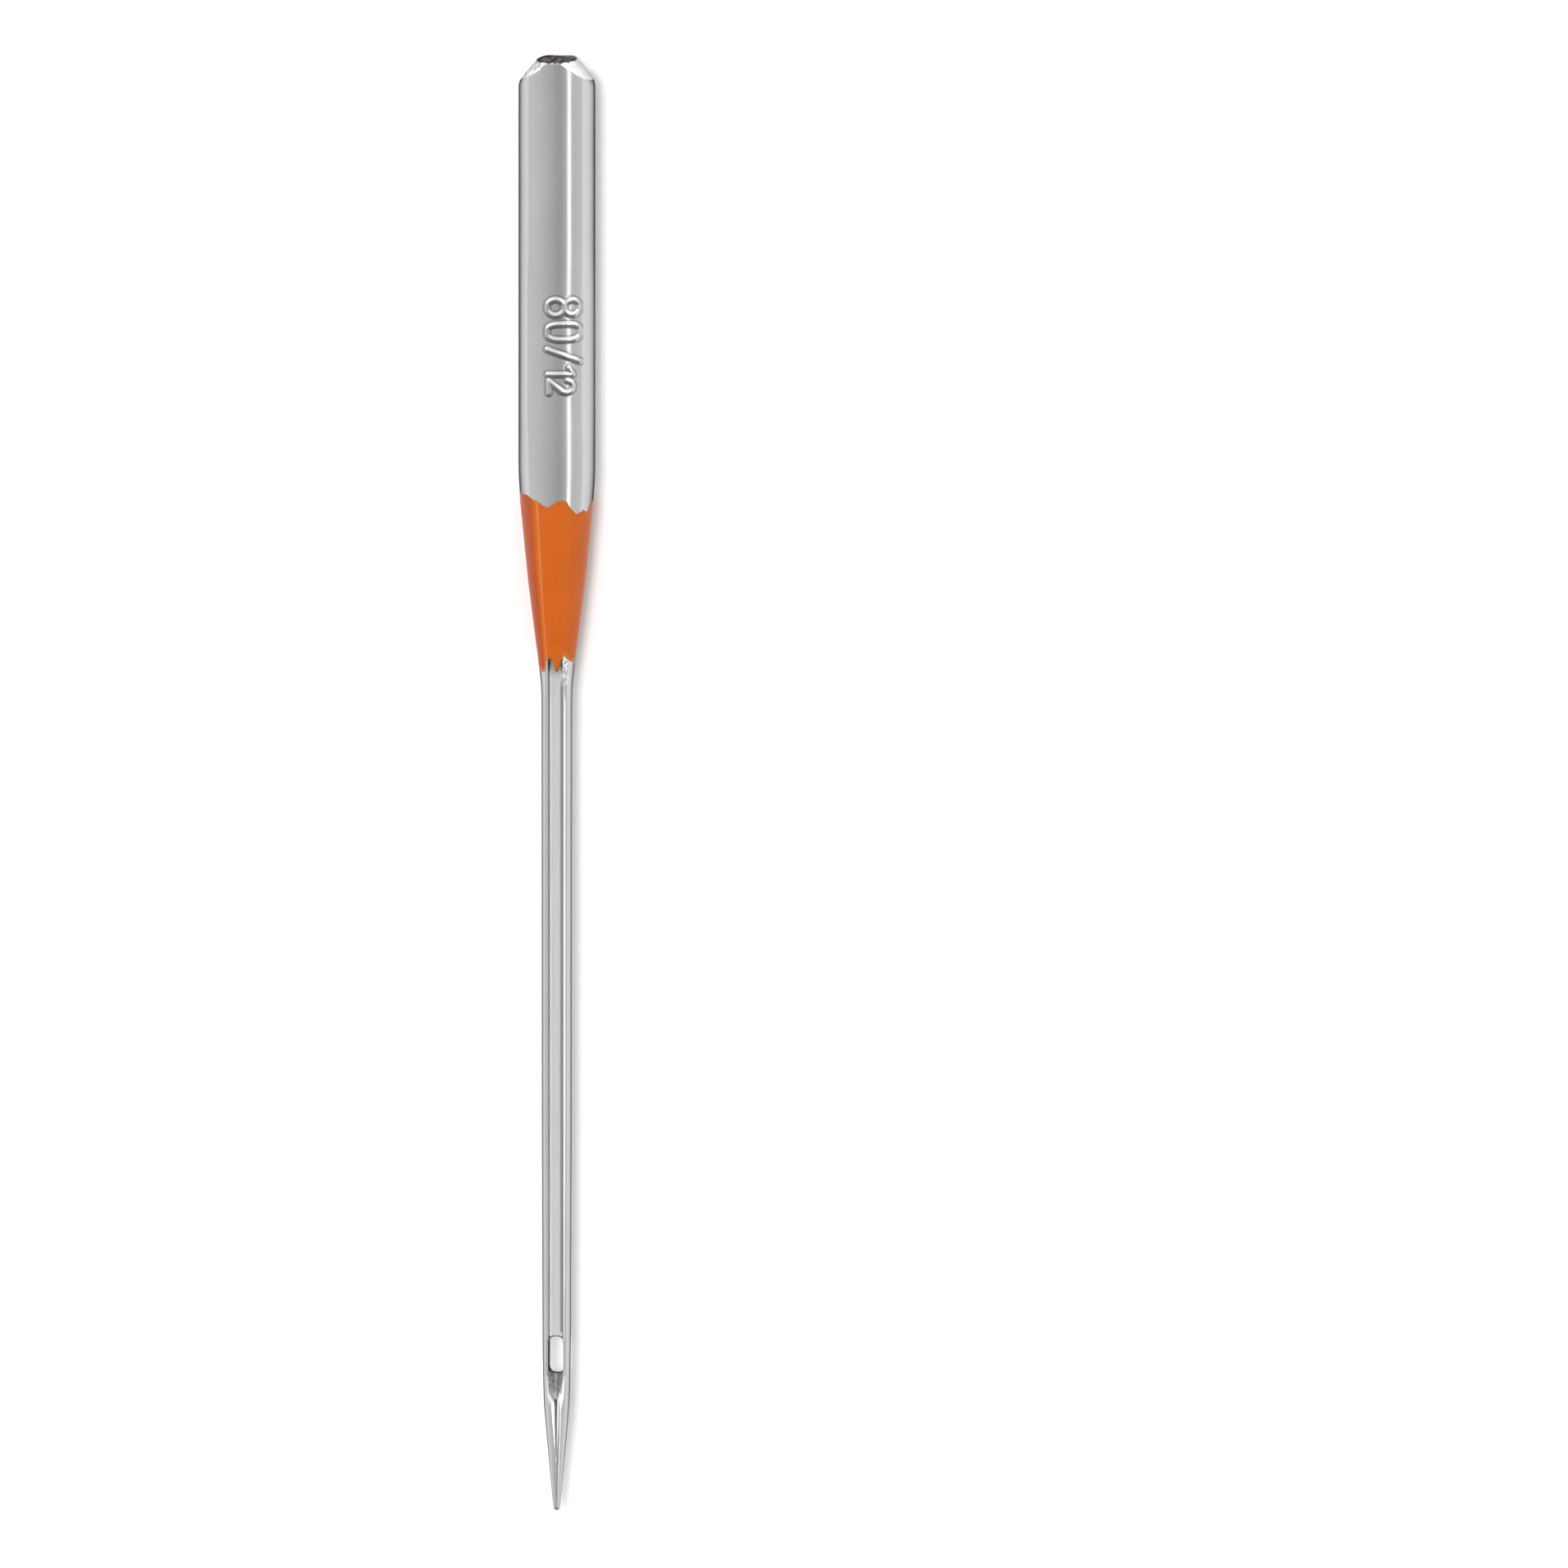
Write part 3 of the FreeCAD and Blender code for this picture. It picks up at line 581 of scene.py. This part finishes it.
def consistent(ob):
    """Turns all faces outward together, after the rings were joined."""
    import bmesh
    bm = bmesh.new()
    bm.from_mesh(ob.data)
    bmesh.ops.recalc_face_normals(bm, faces=bm.faces)
    if bm.calc_volume(signed=True) < 0:
        bmesh.ops.reverse_faces(bm, faces=bm.faces)
    loose = [v for v in bm.verts if not v.link_faces]
    open_edges = sum(1 for e in bm.edges if len(e.link_faces) != 2)
    print(ob.name, "verts", len(bm.verts), "faces", len(bm.faces), "loose", len(loose), "open edges", open_edges,
          "volume mm3", round(bm.calc_volume(signed=True) * 1e9, 4))
    bm.to_mesh(ob.data)
    bm.free()


def attribute(ob, name, values):
    at_ = ob.data.attributes.new(name, "FLOAT", "POINT")
    at_.data.foreach_set("value", np.asarray(values, np.float32))


needle, used = make("needle_steel", world(P), quads, tris)
consistent(needle)
Q = P[used]
ph = np.arctan2(Q[:, 0], Q[:, 2])
a_, b_ = 0.514 + 0.827 * Q[:, 1], 1.05 + 0.75 * Q[:, 1]
q_ = np.sqrt((Q[:, 0] / a_) ** 2 + (Q[:, 2] / b_) ** 2)
attribute(needle, "bevel", ease((q_ - 0.985) / 0.012) * (Q[:, 1] < 0.85) * (Q[:, 1] > 0.012))
# dark patches on the butt's bevels, more of them on the left side
attribute(needle, "bevel_dark_left", 1.0 - 0.75 * ease((Q[:, 0] + 0.1) / 0.2))
attribute(needle, "sheared", ease((0.016 - Q[:, 1]) / 0.012))
e_ = at(VE, Q[:, 1])
SCOOP_S, SCOOP_W = (34.7, 34.95, 35.24, 35.47, 35.59, 35.68), (0.235, 0.215, 0.175, 0.110, 0.060, 0.010)
vf = at(VF, Q[:, 1]) + at(VM, Q[:, 1]) * (np.sqrt(Q[:, 0] ** 2 + e_ ** 2) - e_)
attribute(needle, "scoop", ease((0.018 - np.abs(Q[:, 2] - vf)) / 0.010) * (Q[:, 1] > 34.70) * (Q[:, 1] < 35.68)
          * (Q[:, 2] > 0) * ease((np.interp(Q[:, 1], SCOOP_S, SCOOP_W) - np.abs(Q[:, 0] + np.interp(Q[:, 1], (34.9, 35.3, 35.68), (0.0, 0.03, 0.0)))) / 0.014))
# painted light and shade: the ramp's right side gets the lighter copy of its steel, the keel and left side the darker
attribute(needle, "scoop_lit_side", ease((Q[:, 0] - 0.012) / 0.05))
attribute(needle, "groove", ease((at(OUT, Q[:, 1]) - 0.03 - np.hypot(Q[:, 0], Q[:, 2])) / 0.04)
          * (Q[:, 1] > 15.6) * (Q[:, 1] < 33.84) * (Q[:, 2] > 0.1) * (Q[:, 0] > -0.20) * (Q[:, 0] < 0.182))
# painted shade: the steel is darker where the floor of the groove meets its right side
attribute(needle, "groove_corner_shade", ease((Q[:, 0] - 0.092) / 0.025) * ease((0.192 - Q[:, 0]) / 0.004) * ease((0.30 - Q[:, 2]) / 0.03)
          * ease((Q[:, 1] - 16.3) / 0.4) * ease((33.8 - Q[:, 1]) / 0.1) * (Q[:, 2] > 0.1))
low_ = at(OUT, Q[:, 1]) - np.hypot(Q[:, 0], Q[:, 2])
worn = ease((low_ - 0.001) / 0.006) * (Q[:, 1] > 34.9) * (Q[:, 1] < 37.2) * (Q[:, 2] > 0.08)
# painted shade: a narrow band along the crease at the point, darkened in the steel's colour
crease_shade_mask = (ease((np.interp(Q[:, 1], (35.45, 35.60, 36.0, 37.1), (0.040, 0.052, 0.036, 0.020)) - np.abs(Q[:, 0] - 0.004)) / 0.012)
         * ease((Q[:, 1] - 35.46) / 0.10) * ease((37.15 - Q[:, 1]) / 0.25) * (Q[:, 2] > 0.08))
attribute(needle, "worn", worn)
attribute(needle, "crease", crease_shade_mask)
attribute(needle, "recess_shade", sunk(ph, Q[:, 1], True))
attribute(needle, "glint", ease((ph - 0.24) / 0.12) * ease((0.95 - ph) / 0.2) * ease((Q[:, 1] - 15.7) / 0.1) * ease((16.62 - Q[:, 1]) / 0.25))
spots = np.zeros(len(Q))
for x_, z_, r_ in ((-0.53, 0.25, 0.16), (-0.47, 0.52, 0.13), (-0.38, 0.76, 0.10), (-0.10, 0.97, 0.07), (0.06, 1.00, 0.05),
                   (0.19, 0.95, 0.07), (0.36, 0.72, 0.06), (0.52, 0.30, 0.08), (-0.2, 0.62, 0.05), (0.12, -0.2, 0.12)):
    spots = np.maximum(spots, ease(1.35 - np.hypot(Q[:, 0] - x_, Q[:, 2] - z_) / r_))
attribute(needle, "spots", spots * ease((0.05 - Q[:, 1]) / 0.02))
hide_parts("needle")
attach(needle, "root")

# -------------------------------------------------------------- the paint film
NF = 288
fphi = np.linspace(-math.pi, math.pi, NF, endpoint=False)
e = np.concatenate([np.array([0, 0.004, 0.010, 0.018, 0.028, 0.040, 0.055, 0.075, 0.10, 0.14]), np.linspace(0.2, 1.0, 34)])


def radius(phi, s):
    """Distance of the cone's surface from the axis along a ray, as if there were no groove."""
    lo, hi = np.zeros_like(phi), np.full_like(phi, 1.2)
    for _ in range(24):
        m = (lo + hi) / 2
        f = field(m * np.sin(phi), s, m * np.cos(phi), eye=False, paint=False, groove=False)
        lo, hi = np.where(f < 0, m, lo), np.where(f < 0, hi, m)
    return (lo + hi) / 2


v = np.concatenate([e[:10], 0.14 + (0.5 * 4.2 - 0.14) * ((np.arange(1, 26)) / 25.0) ** 1.0])
v = v / v[-1] * 0.5
v = np.concatenate([v, 1 - v[:-1][::-1]])
top, low = np.interp(fphi, PHI, TOP), np.interp(fphi, PHI, LOW)
fs = top[None, :] + (low - top)[None, :] * v[:, None]
fp = np.repeat(fphi[None, :], len(v), 0)
fr = radius(fp.ravel(), fs.ravel()).reshape(fp.shape)
edge = np.minimum(fs - top[None, :], low[None, :] - fs)
lump = np.zeros_like(fs)
for k in range(14):
    lump += rng.normal() * np.sin(fs * rng.uniform(2, 9) + np.round(rng.uniform(1, 12)) * fp + rng.uniform(0, 6.28))
lump = 0.0011 * lump / 3
rise = np.sqrt(np.clip(1 - (1 - np.clip(edge / 0.045, 0, 1)) ** 2, 0, 1))
bead = np.exp(-((edge - 0.06) / 0.05) ** 2)
# where the groove starts the paint has run in and fills it
over = (np.abs(fr * np.sin(fp)) < GW - 0.006) & (np.abs(fp) < 1.0)
floor_r = np.where(over, at(ZF, fs) / np.cos(np.where(over, fp, 0.0)), 9.0)
deep = np.clip(fr - floor_r, 0, None)
taper = np.sqrt(np.clip(1 - (1 - np.clip(edge / 0.15, 0, 1)) ** 2, 0, 1))
sag = 0.014 * ease(deep / 0.15) * ease((GW - np.abs(fr * np.sin(fp))) / 0.10)
outer = fr - 0.006 + (0.012 + 0.003 * bead + lump) * rise
inner = fr - 0.006 - 0.016 * rise
in_it = deep > 0.004
outer = np.where(in_it, fr - deep - 0.004 + (deep + 0.010 + lump - sag) * taper, outer)
inner = np.where(in_it, fr - deep - 0.004 - 0.012 * rise, inner)
pts = []
for rad, is_out in ((outer, True), (inner, False)):
    x, z = rad * np.sin(fp), rad * np.cos(fp)
    if is_out:
        z = np.maximum(z, -FLAT + 0.0002)
    pts.append(np.stack([x, fs, z], 2).reshape(-1, 3))
FP = np.concatenate(pts)
nv = len(v)
fi = np.arange(nv * NF).reshape(nv, NF)
fo = fi + nv * NF
nx = np.roll(np.arange(NF), -1)
fq = []
for i in range(nv - 1):
    fq.append(np.stack([fi[i], fi[i][nx], fi[i + 1][nx], fi[i + 1]], 1))
    a0, a1 = (fo[i] if i else fi[0]), (fo[i + 1] if i < nv - 2 else fi[nv - 1])
    fq.append(np.stack([a0, a1, a1[nx], a0[nx]], 1))
film, fused = make("size_paint_film", world(FP), np.concatenate(fq))
consistent(film)
W = FP[fused]
wp = np.arctan2(W[:, 0], W[:, 2])
wt, wl = W[:, 1] - np.interp(wp, PHI, TOP), np.interp(wp, PHI, LOW) - W[:, 1]
attribute(film, "from_top", wt)
attribute(film, "from_low", wl)
attribute(film, "angle", wp)
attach(film, "root")


# ------------------------------------------------------------------ materials
def tree(name):
    m = bpy.data.materials.new(name)
    m.use_nodes = True
    nt = m.node_tree
    for nd in list(nt.nodes):
        if nd.type not in ("BSDF_PRINCIPLED", "OUTPUT_MATERIAL"):
            nt.nodes.remove(nd)
    return m, nt, next(nd for nd in nt.nodes if nd.type == "BSDF_PRINCIPLED")


def node(nt, kind, **values):
    nd = nt.nodes.new(kind)
    for k, val in values.items():
        if k.startswith("in_"):
            nd.inputs[k[3:].replace("_", " ")].default_value = val
        else:
            setattr(nd, k, val)
    return nd


def coords(nt, scale):
    """Object coordinates in millimetres, stretched by scale."""
    tc = node(nt, "ShaderNodeTexCoord")
    mp = node(nt, "ShaderNodeMapping")
    mp.inputs["Scale"].default_value = [1000.0 * c for c in scale]
    nt.links.new(tc.outputs["Object"], mp.inputs["Vector"])
    return mp.outputs["Vector"]


def noise(nt, scale, detail, rough=0.55):
    nz = node(nt, "ShaderNodeTexNoise", in_Scale=1.0, in_Detail=detail, in_Roughness=rough)
    nt.links.new(coords(nt, scale), nz.inputs["Vector"])
    return nz.outputs["Fac"]


def remap(nt, value, a, b, c, d, smooth=False):
    mr = node(nt, "ShaderNodeMapRange", clamp=True)
    if smooth:
        mr.interpolation_type = "SMOOTHSTEP"
    nt.links.new(value, mr.inputs["Value"])
    for k, val in zip(("From Min", "From Max", "To Min", "To Max"), (a, b, c, d)):
        mr.inputs[k].default_value = val
    return mr.outputs["Result"]


def maths(nt, op, a, b):
    md = node(nt, "ShaderNodeMath", operation=op)
    for k, val in enumerate((a, b)):
        if isinstance(val, (int, float)):
            md.inputs[k].default_value = val
        else:
            nt.links.new(val, md.inputs[k])
    return md.outputs["Value"]


def blend(nt, factor, a, b):
    mx = node(nt, "ShaderNodeMix", data_type="RGBA")
    ins = [s for s in mx.inputs if s.enabled]
    fac, ca, cb = ins[0], ins[1], ins[2]
    nt.links.new(factor, fac)
    for sock, val in ((ca, a), (cb, b)):
        if isinstance(val, tuple):
            sock.default_value = (*val, 1.0)
        else:
            nt.links.new(val, sock)
    return next(o for o in mx.outputs if o.enabled)


def mask(nt, name):
    return node(nt, "ShaderNodeAttribute", attribute_name=name).outputs["Fac"]


steel, nt, bsdf = tree("plated_steel")
bsdf.inputs["Metallic"].default_value = 1.0
grain = noise(nt, (26, 0.7, 26), 3)            # fine lines along the needle
cloud = noise(nt, (1.1, 0.45, 1.1), 3)         # slow change of the polish
speck = noise(nt, (14, 14, 14), 2)             # small pits
colour = blend(nt, cloud, (0.50, 0.50, 0.505), (0.57, 0.57, 0.575))
# painted highlight: the butt's bevels are near-white steel, broken by dark patches that are more on the left side
bevel_highlight_c = blend(nt, maths(nt, "MULTIPLY", remap(nt, noise(nt, (9, 5, 9), 4), 0.47, 0.60, 0.0, 1.0), mask(nt, "bevel_dark_left")),
                (0.93, 0.93, 0.935), (0.36, 0.36, 0.37))
colour = blend(nt, mask(nt, "bevel"), colour, bevel_highlight_c)
shear_c = blend(nt, remap(nt, noise(nt, (6, 6, 1.6), 5), 0.42, 0.58, 0.0, 1.0), (0.36, 0.325, 0.32), (0.085, 0.075, 0.077))
colour = blend(nt, mask(nt, "sheared"), colour, shear_c)
# the ramp's rough steel in two copies: painted shade on its left side and keel, painted light on its right side
scoop_shaded_c = blend(nt, remap(nt, noise(nt, (16, 12, 16), 4), 0.35, 0.65, 0.0, 1.0), (0.42, 0.42, 0.43), (0.20, 0.20, 0.21))
colour = blend(nt, mask(nt, "worn"), colour, (0.92, 0.92, 0.925))
lit_c = blend(nt, remap(nt, noise(nt, (16, 12, 16), 4), 0.35, 0.65, 0.0, 1.0), (0.66, 0.66, 0.67), (0.37, 0.37, 0.38))
colour = blend(nt, mask(nt, "scoop"), colour, blend(nt, mask(nt, "scoop_lit_side"), scoop_shaded_c, lit_c))
# painted light: the groove's floor and left wall are a lighter copy of the steel; its extra roughness is the groove's
# own
groove_lit_c = blend(nt, remap(nt, grain, 0.35, 0.65, 0.0, 1.0), (0.86, 0.86, 0.865), (0.78, 0.78, 0.785))
colour = blend(nt, mask(nt, "groove"), colour, groove_lit_c)
# painted shade along the foot of the groove's right side
colour = blend(nt, mask(nt, "groove_corner_shade"), colour, (0.38, 0.38, 0.385))
# painted shade: near-black in the fine lines beside the stamped digits and along the crease
colour = blend(nt, maths(nt, "MAXIMUM", maths(nt, "MULTIPLY", mask(nt, "recess_shade"), 0.62), maths(nt, "MULTIPLY", mask(nt, "crease"), 0.8)), colour, (0.08, 0.08, 0.08))
glint = maths(nt, "MULTIPLY", mask(nt, "glint"), remap(nt, noise(nt, (13, 9, 13), 3), 0.47, 0.56, 0.0, 1.0))
colour = blend(nt, glint, colour, (0.97, 0.96, 0.93))
colour = blend(nt, maths(nt, "MULTIPLY", mask(nt, "spots"), 0.92), colour, (0.022, 0.020, 0.021))
nt.links.new(colour, bsdf.inputs["Base Color"])
# the painted highlights on the bevels and the glints also keep their grazing reflections bright
nt.links.new(blend(nt, maths(nt, "MAXIMUM", mask(nt, "bevel"), glint), (0.06, 0.06, 0.06), (0.50, 0.50, 0.50)), bsdf.inputs["Specular Tint"])
rough = maths(nt, "ADD", remap(nt, grain, 0.3, 0.7, 0.10, 0.17), remap(nt, cloud, 0.3, 0.7, 0.0, 0.04))
rough = maths(nt, "ADD", rough, remap(nt, speck, 0.68, 0.76, 0.0, 0.18))
rough = maths(nt, "ADD", rough, maths(nt, "MULTIPLY", mask(nt, "sheared"), 0.33))
rough = maths(nt, "ADD", rough, maths(nt, "MULTIPLY", mask(nt, "scoop"), 0.25))
rough = maths(nt, "ADD", rough, maths(nt, "MULTIPLY", mask(nt, "bevel"), 0.05))
rough = maths(nt, "ADD", rough, maths(nt, "MULTIPLY", mask(nt, "groove"), 0.24))
rough = maths(nt, "ADD", rough, maths(nt, "MULTIPLY", glint, 0.30))
nt.links.new(rough, bsdf.inputs["Roughness"])
height = maths(nt, "ADD", maths(nt, "MULTIPLY", grain, 0.5), maths(nt, "MULTIPLY", remap(nt, speck, 0.66, 0.78, 0.0, 1.0), -0.8))
coarse = maths(nt, "MULTIPLY", noise(nt, (18, 18, 18), 4), maths(nt, "ADD", mask(nt, "scoop"), mask(nt, "sheared")))
height = maths(nt, "ADD", height, maths(nt, "MULTIPLY", coarse, 12.0))
bump = node(nt, "ShaderNodeBump", in_Strength=0.35, in_Distance=0.0000012)
nt.links.new(height, bump.inputs["Height"])
nt.links.new(bump.outputs["Normal"], bsdf.inputs["Normal"])
needle.data.materials.append(steel)

paint, nt, bsdf = tree("size_paint")
cloud = noise(nt, (1.6, 0.9, 1.6), 4)
fine = noise(nt, (10, 6, 10), 3)
brush = noise(nt, (12, 0.5, 12), 2)
colour = blend(nt, remap(nt, cloud, 0.3, 0.7, 0.0, 1.0), (0.392, 0.077, 0.0062), (0.415, 0.084, 0.0070))
# painted highlight: a lighter line along the paint on the left of the front
highlight_line = maths(nt, "MULTIPLY", remap(nt, maths(nt, "ABSOLUTE", maths(nt, "ADD", mask(nt, "angle"), 0.47), 0.0), 0.0, 0.075, 1.0, 0.0, True),
               remap(nt, brush, 0.30, 0.60, 0.25, 0.55))
colour = blend(nt, highlight_line, colour, (0.56, 0.19, 0.06))
# painted shade: the paint's left side is darker
left_shade = remap(nt, mask(nt, "angle"), -0.72, -0.56, 1.0, 0.0, True)
colour = blend(nt, maths(nt, "MULTIPLY", left_shade, 0.80), colour, (0.29, 0.040, 0.0065))
low_c = remap(nt, maths(nt, "ADD", mask(nt, "from_low"), remap(nt, fine, 0.3, 0.7, -0.07, 0.07)), 0.02, 0.16, 1.0, 0.0, True)
colour = blend(nt, maths(nt, "MULTIPLY", low_c, 0.85), colour, (0.32, 0.15, 0.03))
top_c = remap(nt, maths(nt, "ADD", mask(nt, "from_top"), remap(nt, fine, 0.3, 0.7, -0.02, 0.02)), 0.0, 0.040, 1.0, 0.0, True)
colour = blend(nt, maths(nt, "MULTIPLY", top_c, 0.75), colour, (0.15, 0.075, 0.03))
nt.links.new(colour, bsdf.inputs["Base Color"])
nt.links.new(remap(nt, fine, 0.3, 0.7, 0.26, 0.42), bsdf.inputs["Roughness"])
bsdf.inputs["Specular IOR Level"].default_value = 0.18
bump = node(nt, "ShaderNodeBump", in_Strength=0.4, in_Distance=0.000002)
nt.links.new(maths(nt, "ADD", brush, fine), bump.inputs["Height"])
nt.links.new(bump.outputs["Normal"], bsdf.inputs["Normal"])
film.data.materials.append(paint)

# ------------------------------------------------------------- floor and light
me = bpy.data.meshes.new("floor")
me.from_pydata([(-4, -4, -2e-6), (4, -4, -2e-6), (4, 4, -2e-6), (-4, 4, -2e-6)], [], [(0, 1, 2, 3)])
floor = bpy.data.objects.new("floor", me)
bpy.context.scene.collection.objects.link(floor)
fm, nt, bsdf = tree("floor_white")
bsdf.inputs["Base Color"].default_value = (0.73, 0.73, 0.73, 1)
bsdf.inputs["Roughness"].default_value = 0.9
bsdf.inputs["Specular IOR Level"].default_value = 0.0
me.materials.append(fm)

world_ = bpy.data.worlds.new("studio")
bpy.context.scene.world = world_
world_.use_nodes = True
nt = world_.node_tree
bg = next(nd for nd in nt.nodes if nd.type == "BACKGROUND")
tc = node(nt, "ShaderNodeTexCoord")
sp = node(nt, "ShaderNodeSeparateXYZ")
nt.links.new(tc.outputs["Generated"], sp.inputs["Vector"])
turn = maths(nt, "ARCTAN2", sp.outputs["X"], sp.outputs["Z"])       # 0 overhead, + to the right


def profile(stops):
    """Grey level over the direction round the needle, in degrees from overhead."""
    top = max(v for _, v in stops)
    ramp = node(nt, "ShaderNodeValToRGB")
    nt.links.new(remap(nt, turn, -math.pi / 2, math.pi / 2, 0.0, 1.0), ramp.inputs["Fac"])
    els = ramp.color_ramp.elements
    while len(els) < len(stops):
        els.new(0.5)
    for el, (deg, val) in zip(els, stops):
        el.position = (deg + 90) / 180
        el.color = (val / top, val / top, val / top, 1)
    return maths(nt, "MULTIPLY", ramp.outputs["Color"], top)


tent = profile([(-90, 0.965), (-70, 0.94), (-44, 0.855), (-33, 0.80), (-21, 0.75), (-13, 0.712), (-5.6, 0.684), (1.3, 0.63),
                (8.7, 0.60), (16, 0.585), (23.5, 0.63), (31, 0.74), (54, 0.87), (62, 0.867), (71, 0.90), (80, 0.93), (90, 0.95)])
strip_light = profile([(-90, 0.0), (37, 0.0), (39, 1.25), (48, 1.25), (50, 0.0), (90, 0.0)])
# brighter towards the butt's end of the room, darker towards the point's
along = maths(nt, "ADD", remap(nt, sp.outputs["Y"], 0.06, 0.26, 0.0, 1.3, True), remap(nt, sp.outputs["Y"], -0.50, -0.33, -0.62, 0.0, True))
along = maths(nt, "ADD", along, remap(nt, sp.outputs["Y"], -0.97, -0.82, 0.42, 0.0, True))
tent = maths(nt, "MULTIPLY", tent, maths(nt, "ADD", along, 1.0))
band = remap(nt, maths(nt, "ABSOLUTE", sp.outputs["Y"], 0.0), 0.34, 0.42, 1.0, 0.0, True)
nt.links.new(maths(nt, "ADD", tent, maths(nt, "MULTIPLY", strip_light, band)), bg.inputs["Color"])
bg.inputs["Strength"].default_value = 1.0

sun = bpy.data.lights.new("key", "SUN")
sun.energy = 2.0
sun.angle = math.radians(22)
so = bpy.data.objects.new("key", sun)
bpy.context.scene.collection.objects.link(so)
so.rotation_mode = "QUATERNION"
so.rotation_quaternion = Vector((-0.16, 0.05, 1.0)).to_track_quat("Z", "Y")
so.visible_glossy = False

# ------------------------------------------------------------------ the camera
TILT, ROLL = math.radians(7.45), math.radians(6.0)
PIXEL = LENGTH * math.cos(TILT) / 1778.0 / 1000.0       # metres a pixel of the 1920 frame
back_ = Vector((math.tan(ROLL), math.tan(TILT), 1.0)).normalized()
up = (Vector((0, 1, 0)) - back_ * back_.y).normalized()
right = up.cross(back_)
up, right = (up - right * 0.0007).normalized(), (right + up * 0.0007).normalized()
axis_mid = Vector((0, 0, FLAT / 1000))
target = axis_mid + right * (960 - 681.8) * PIXEL + up * (962.0 - 960) * PIXEL
DIST = 1.5
cam = bpy.data.cameras.new("camera")
cam.sensor_width = 36.0
cam.lens = 36.0 * DIST / (1920 * PIXEL)
cam.clip_start, cam.clip_end = 0.05, 12.0
co = bpy.data.objects.new("camera", cam)
co.matrix_world = Matrix.Translation(target + back_ * DIST) @ Matrix((right, up, back_)).transposed().to_4x4()
bpy.context.scene.collection.objects.link(co)
bpy.context.scene.camera = co
bpy.context.scene.view_settings.view_transform = "Standard"
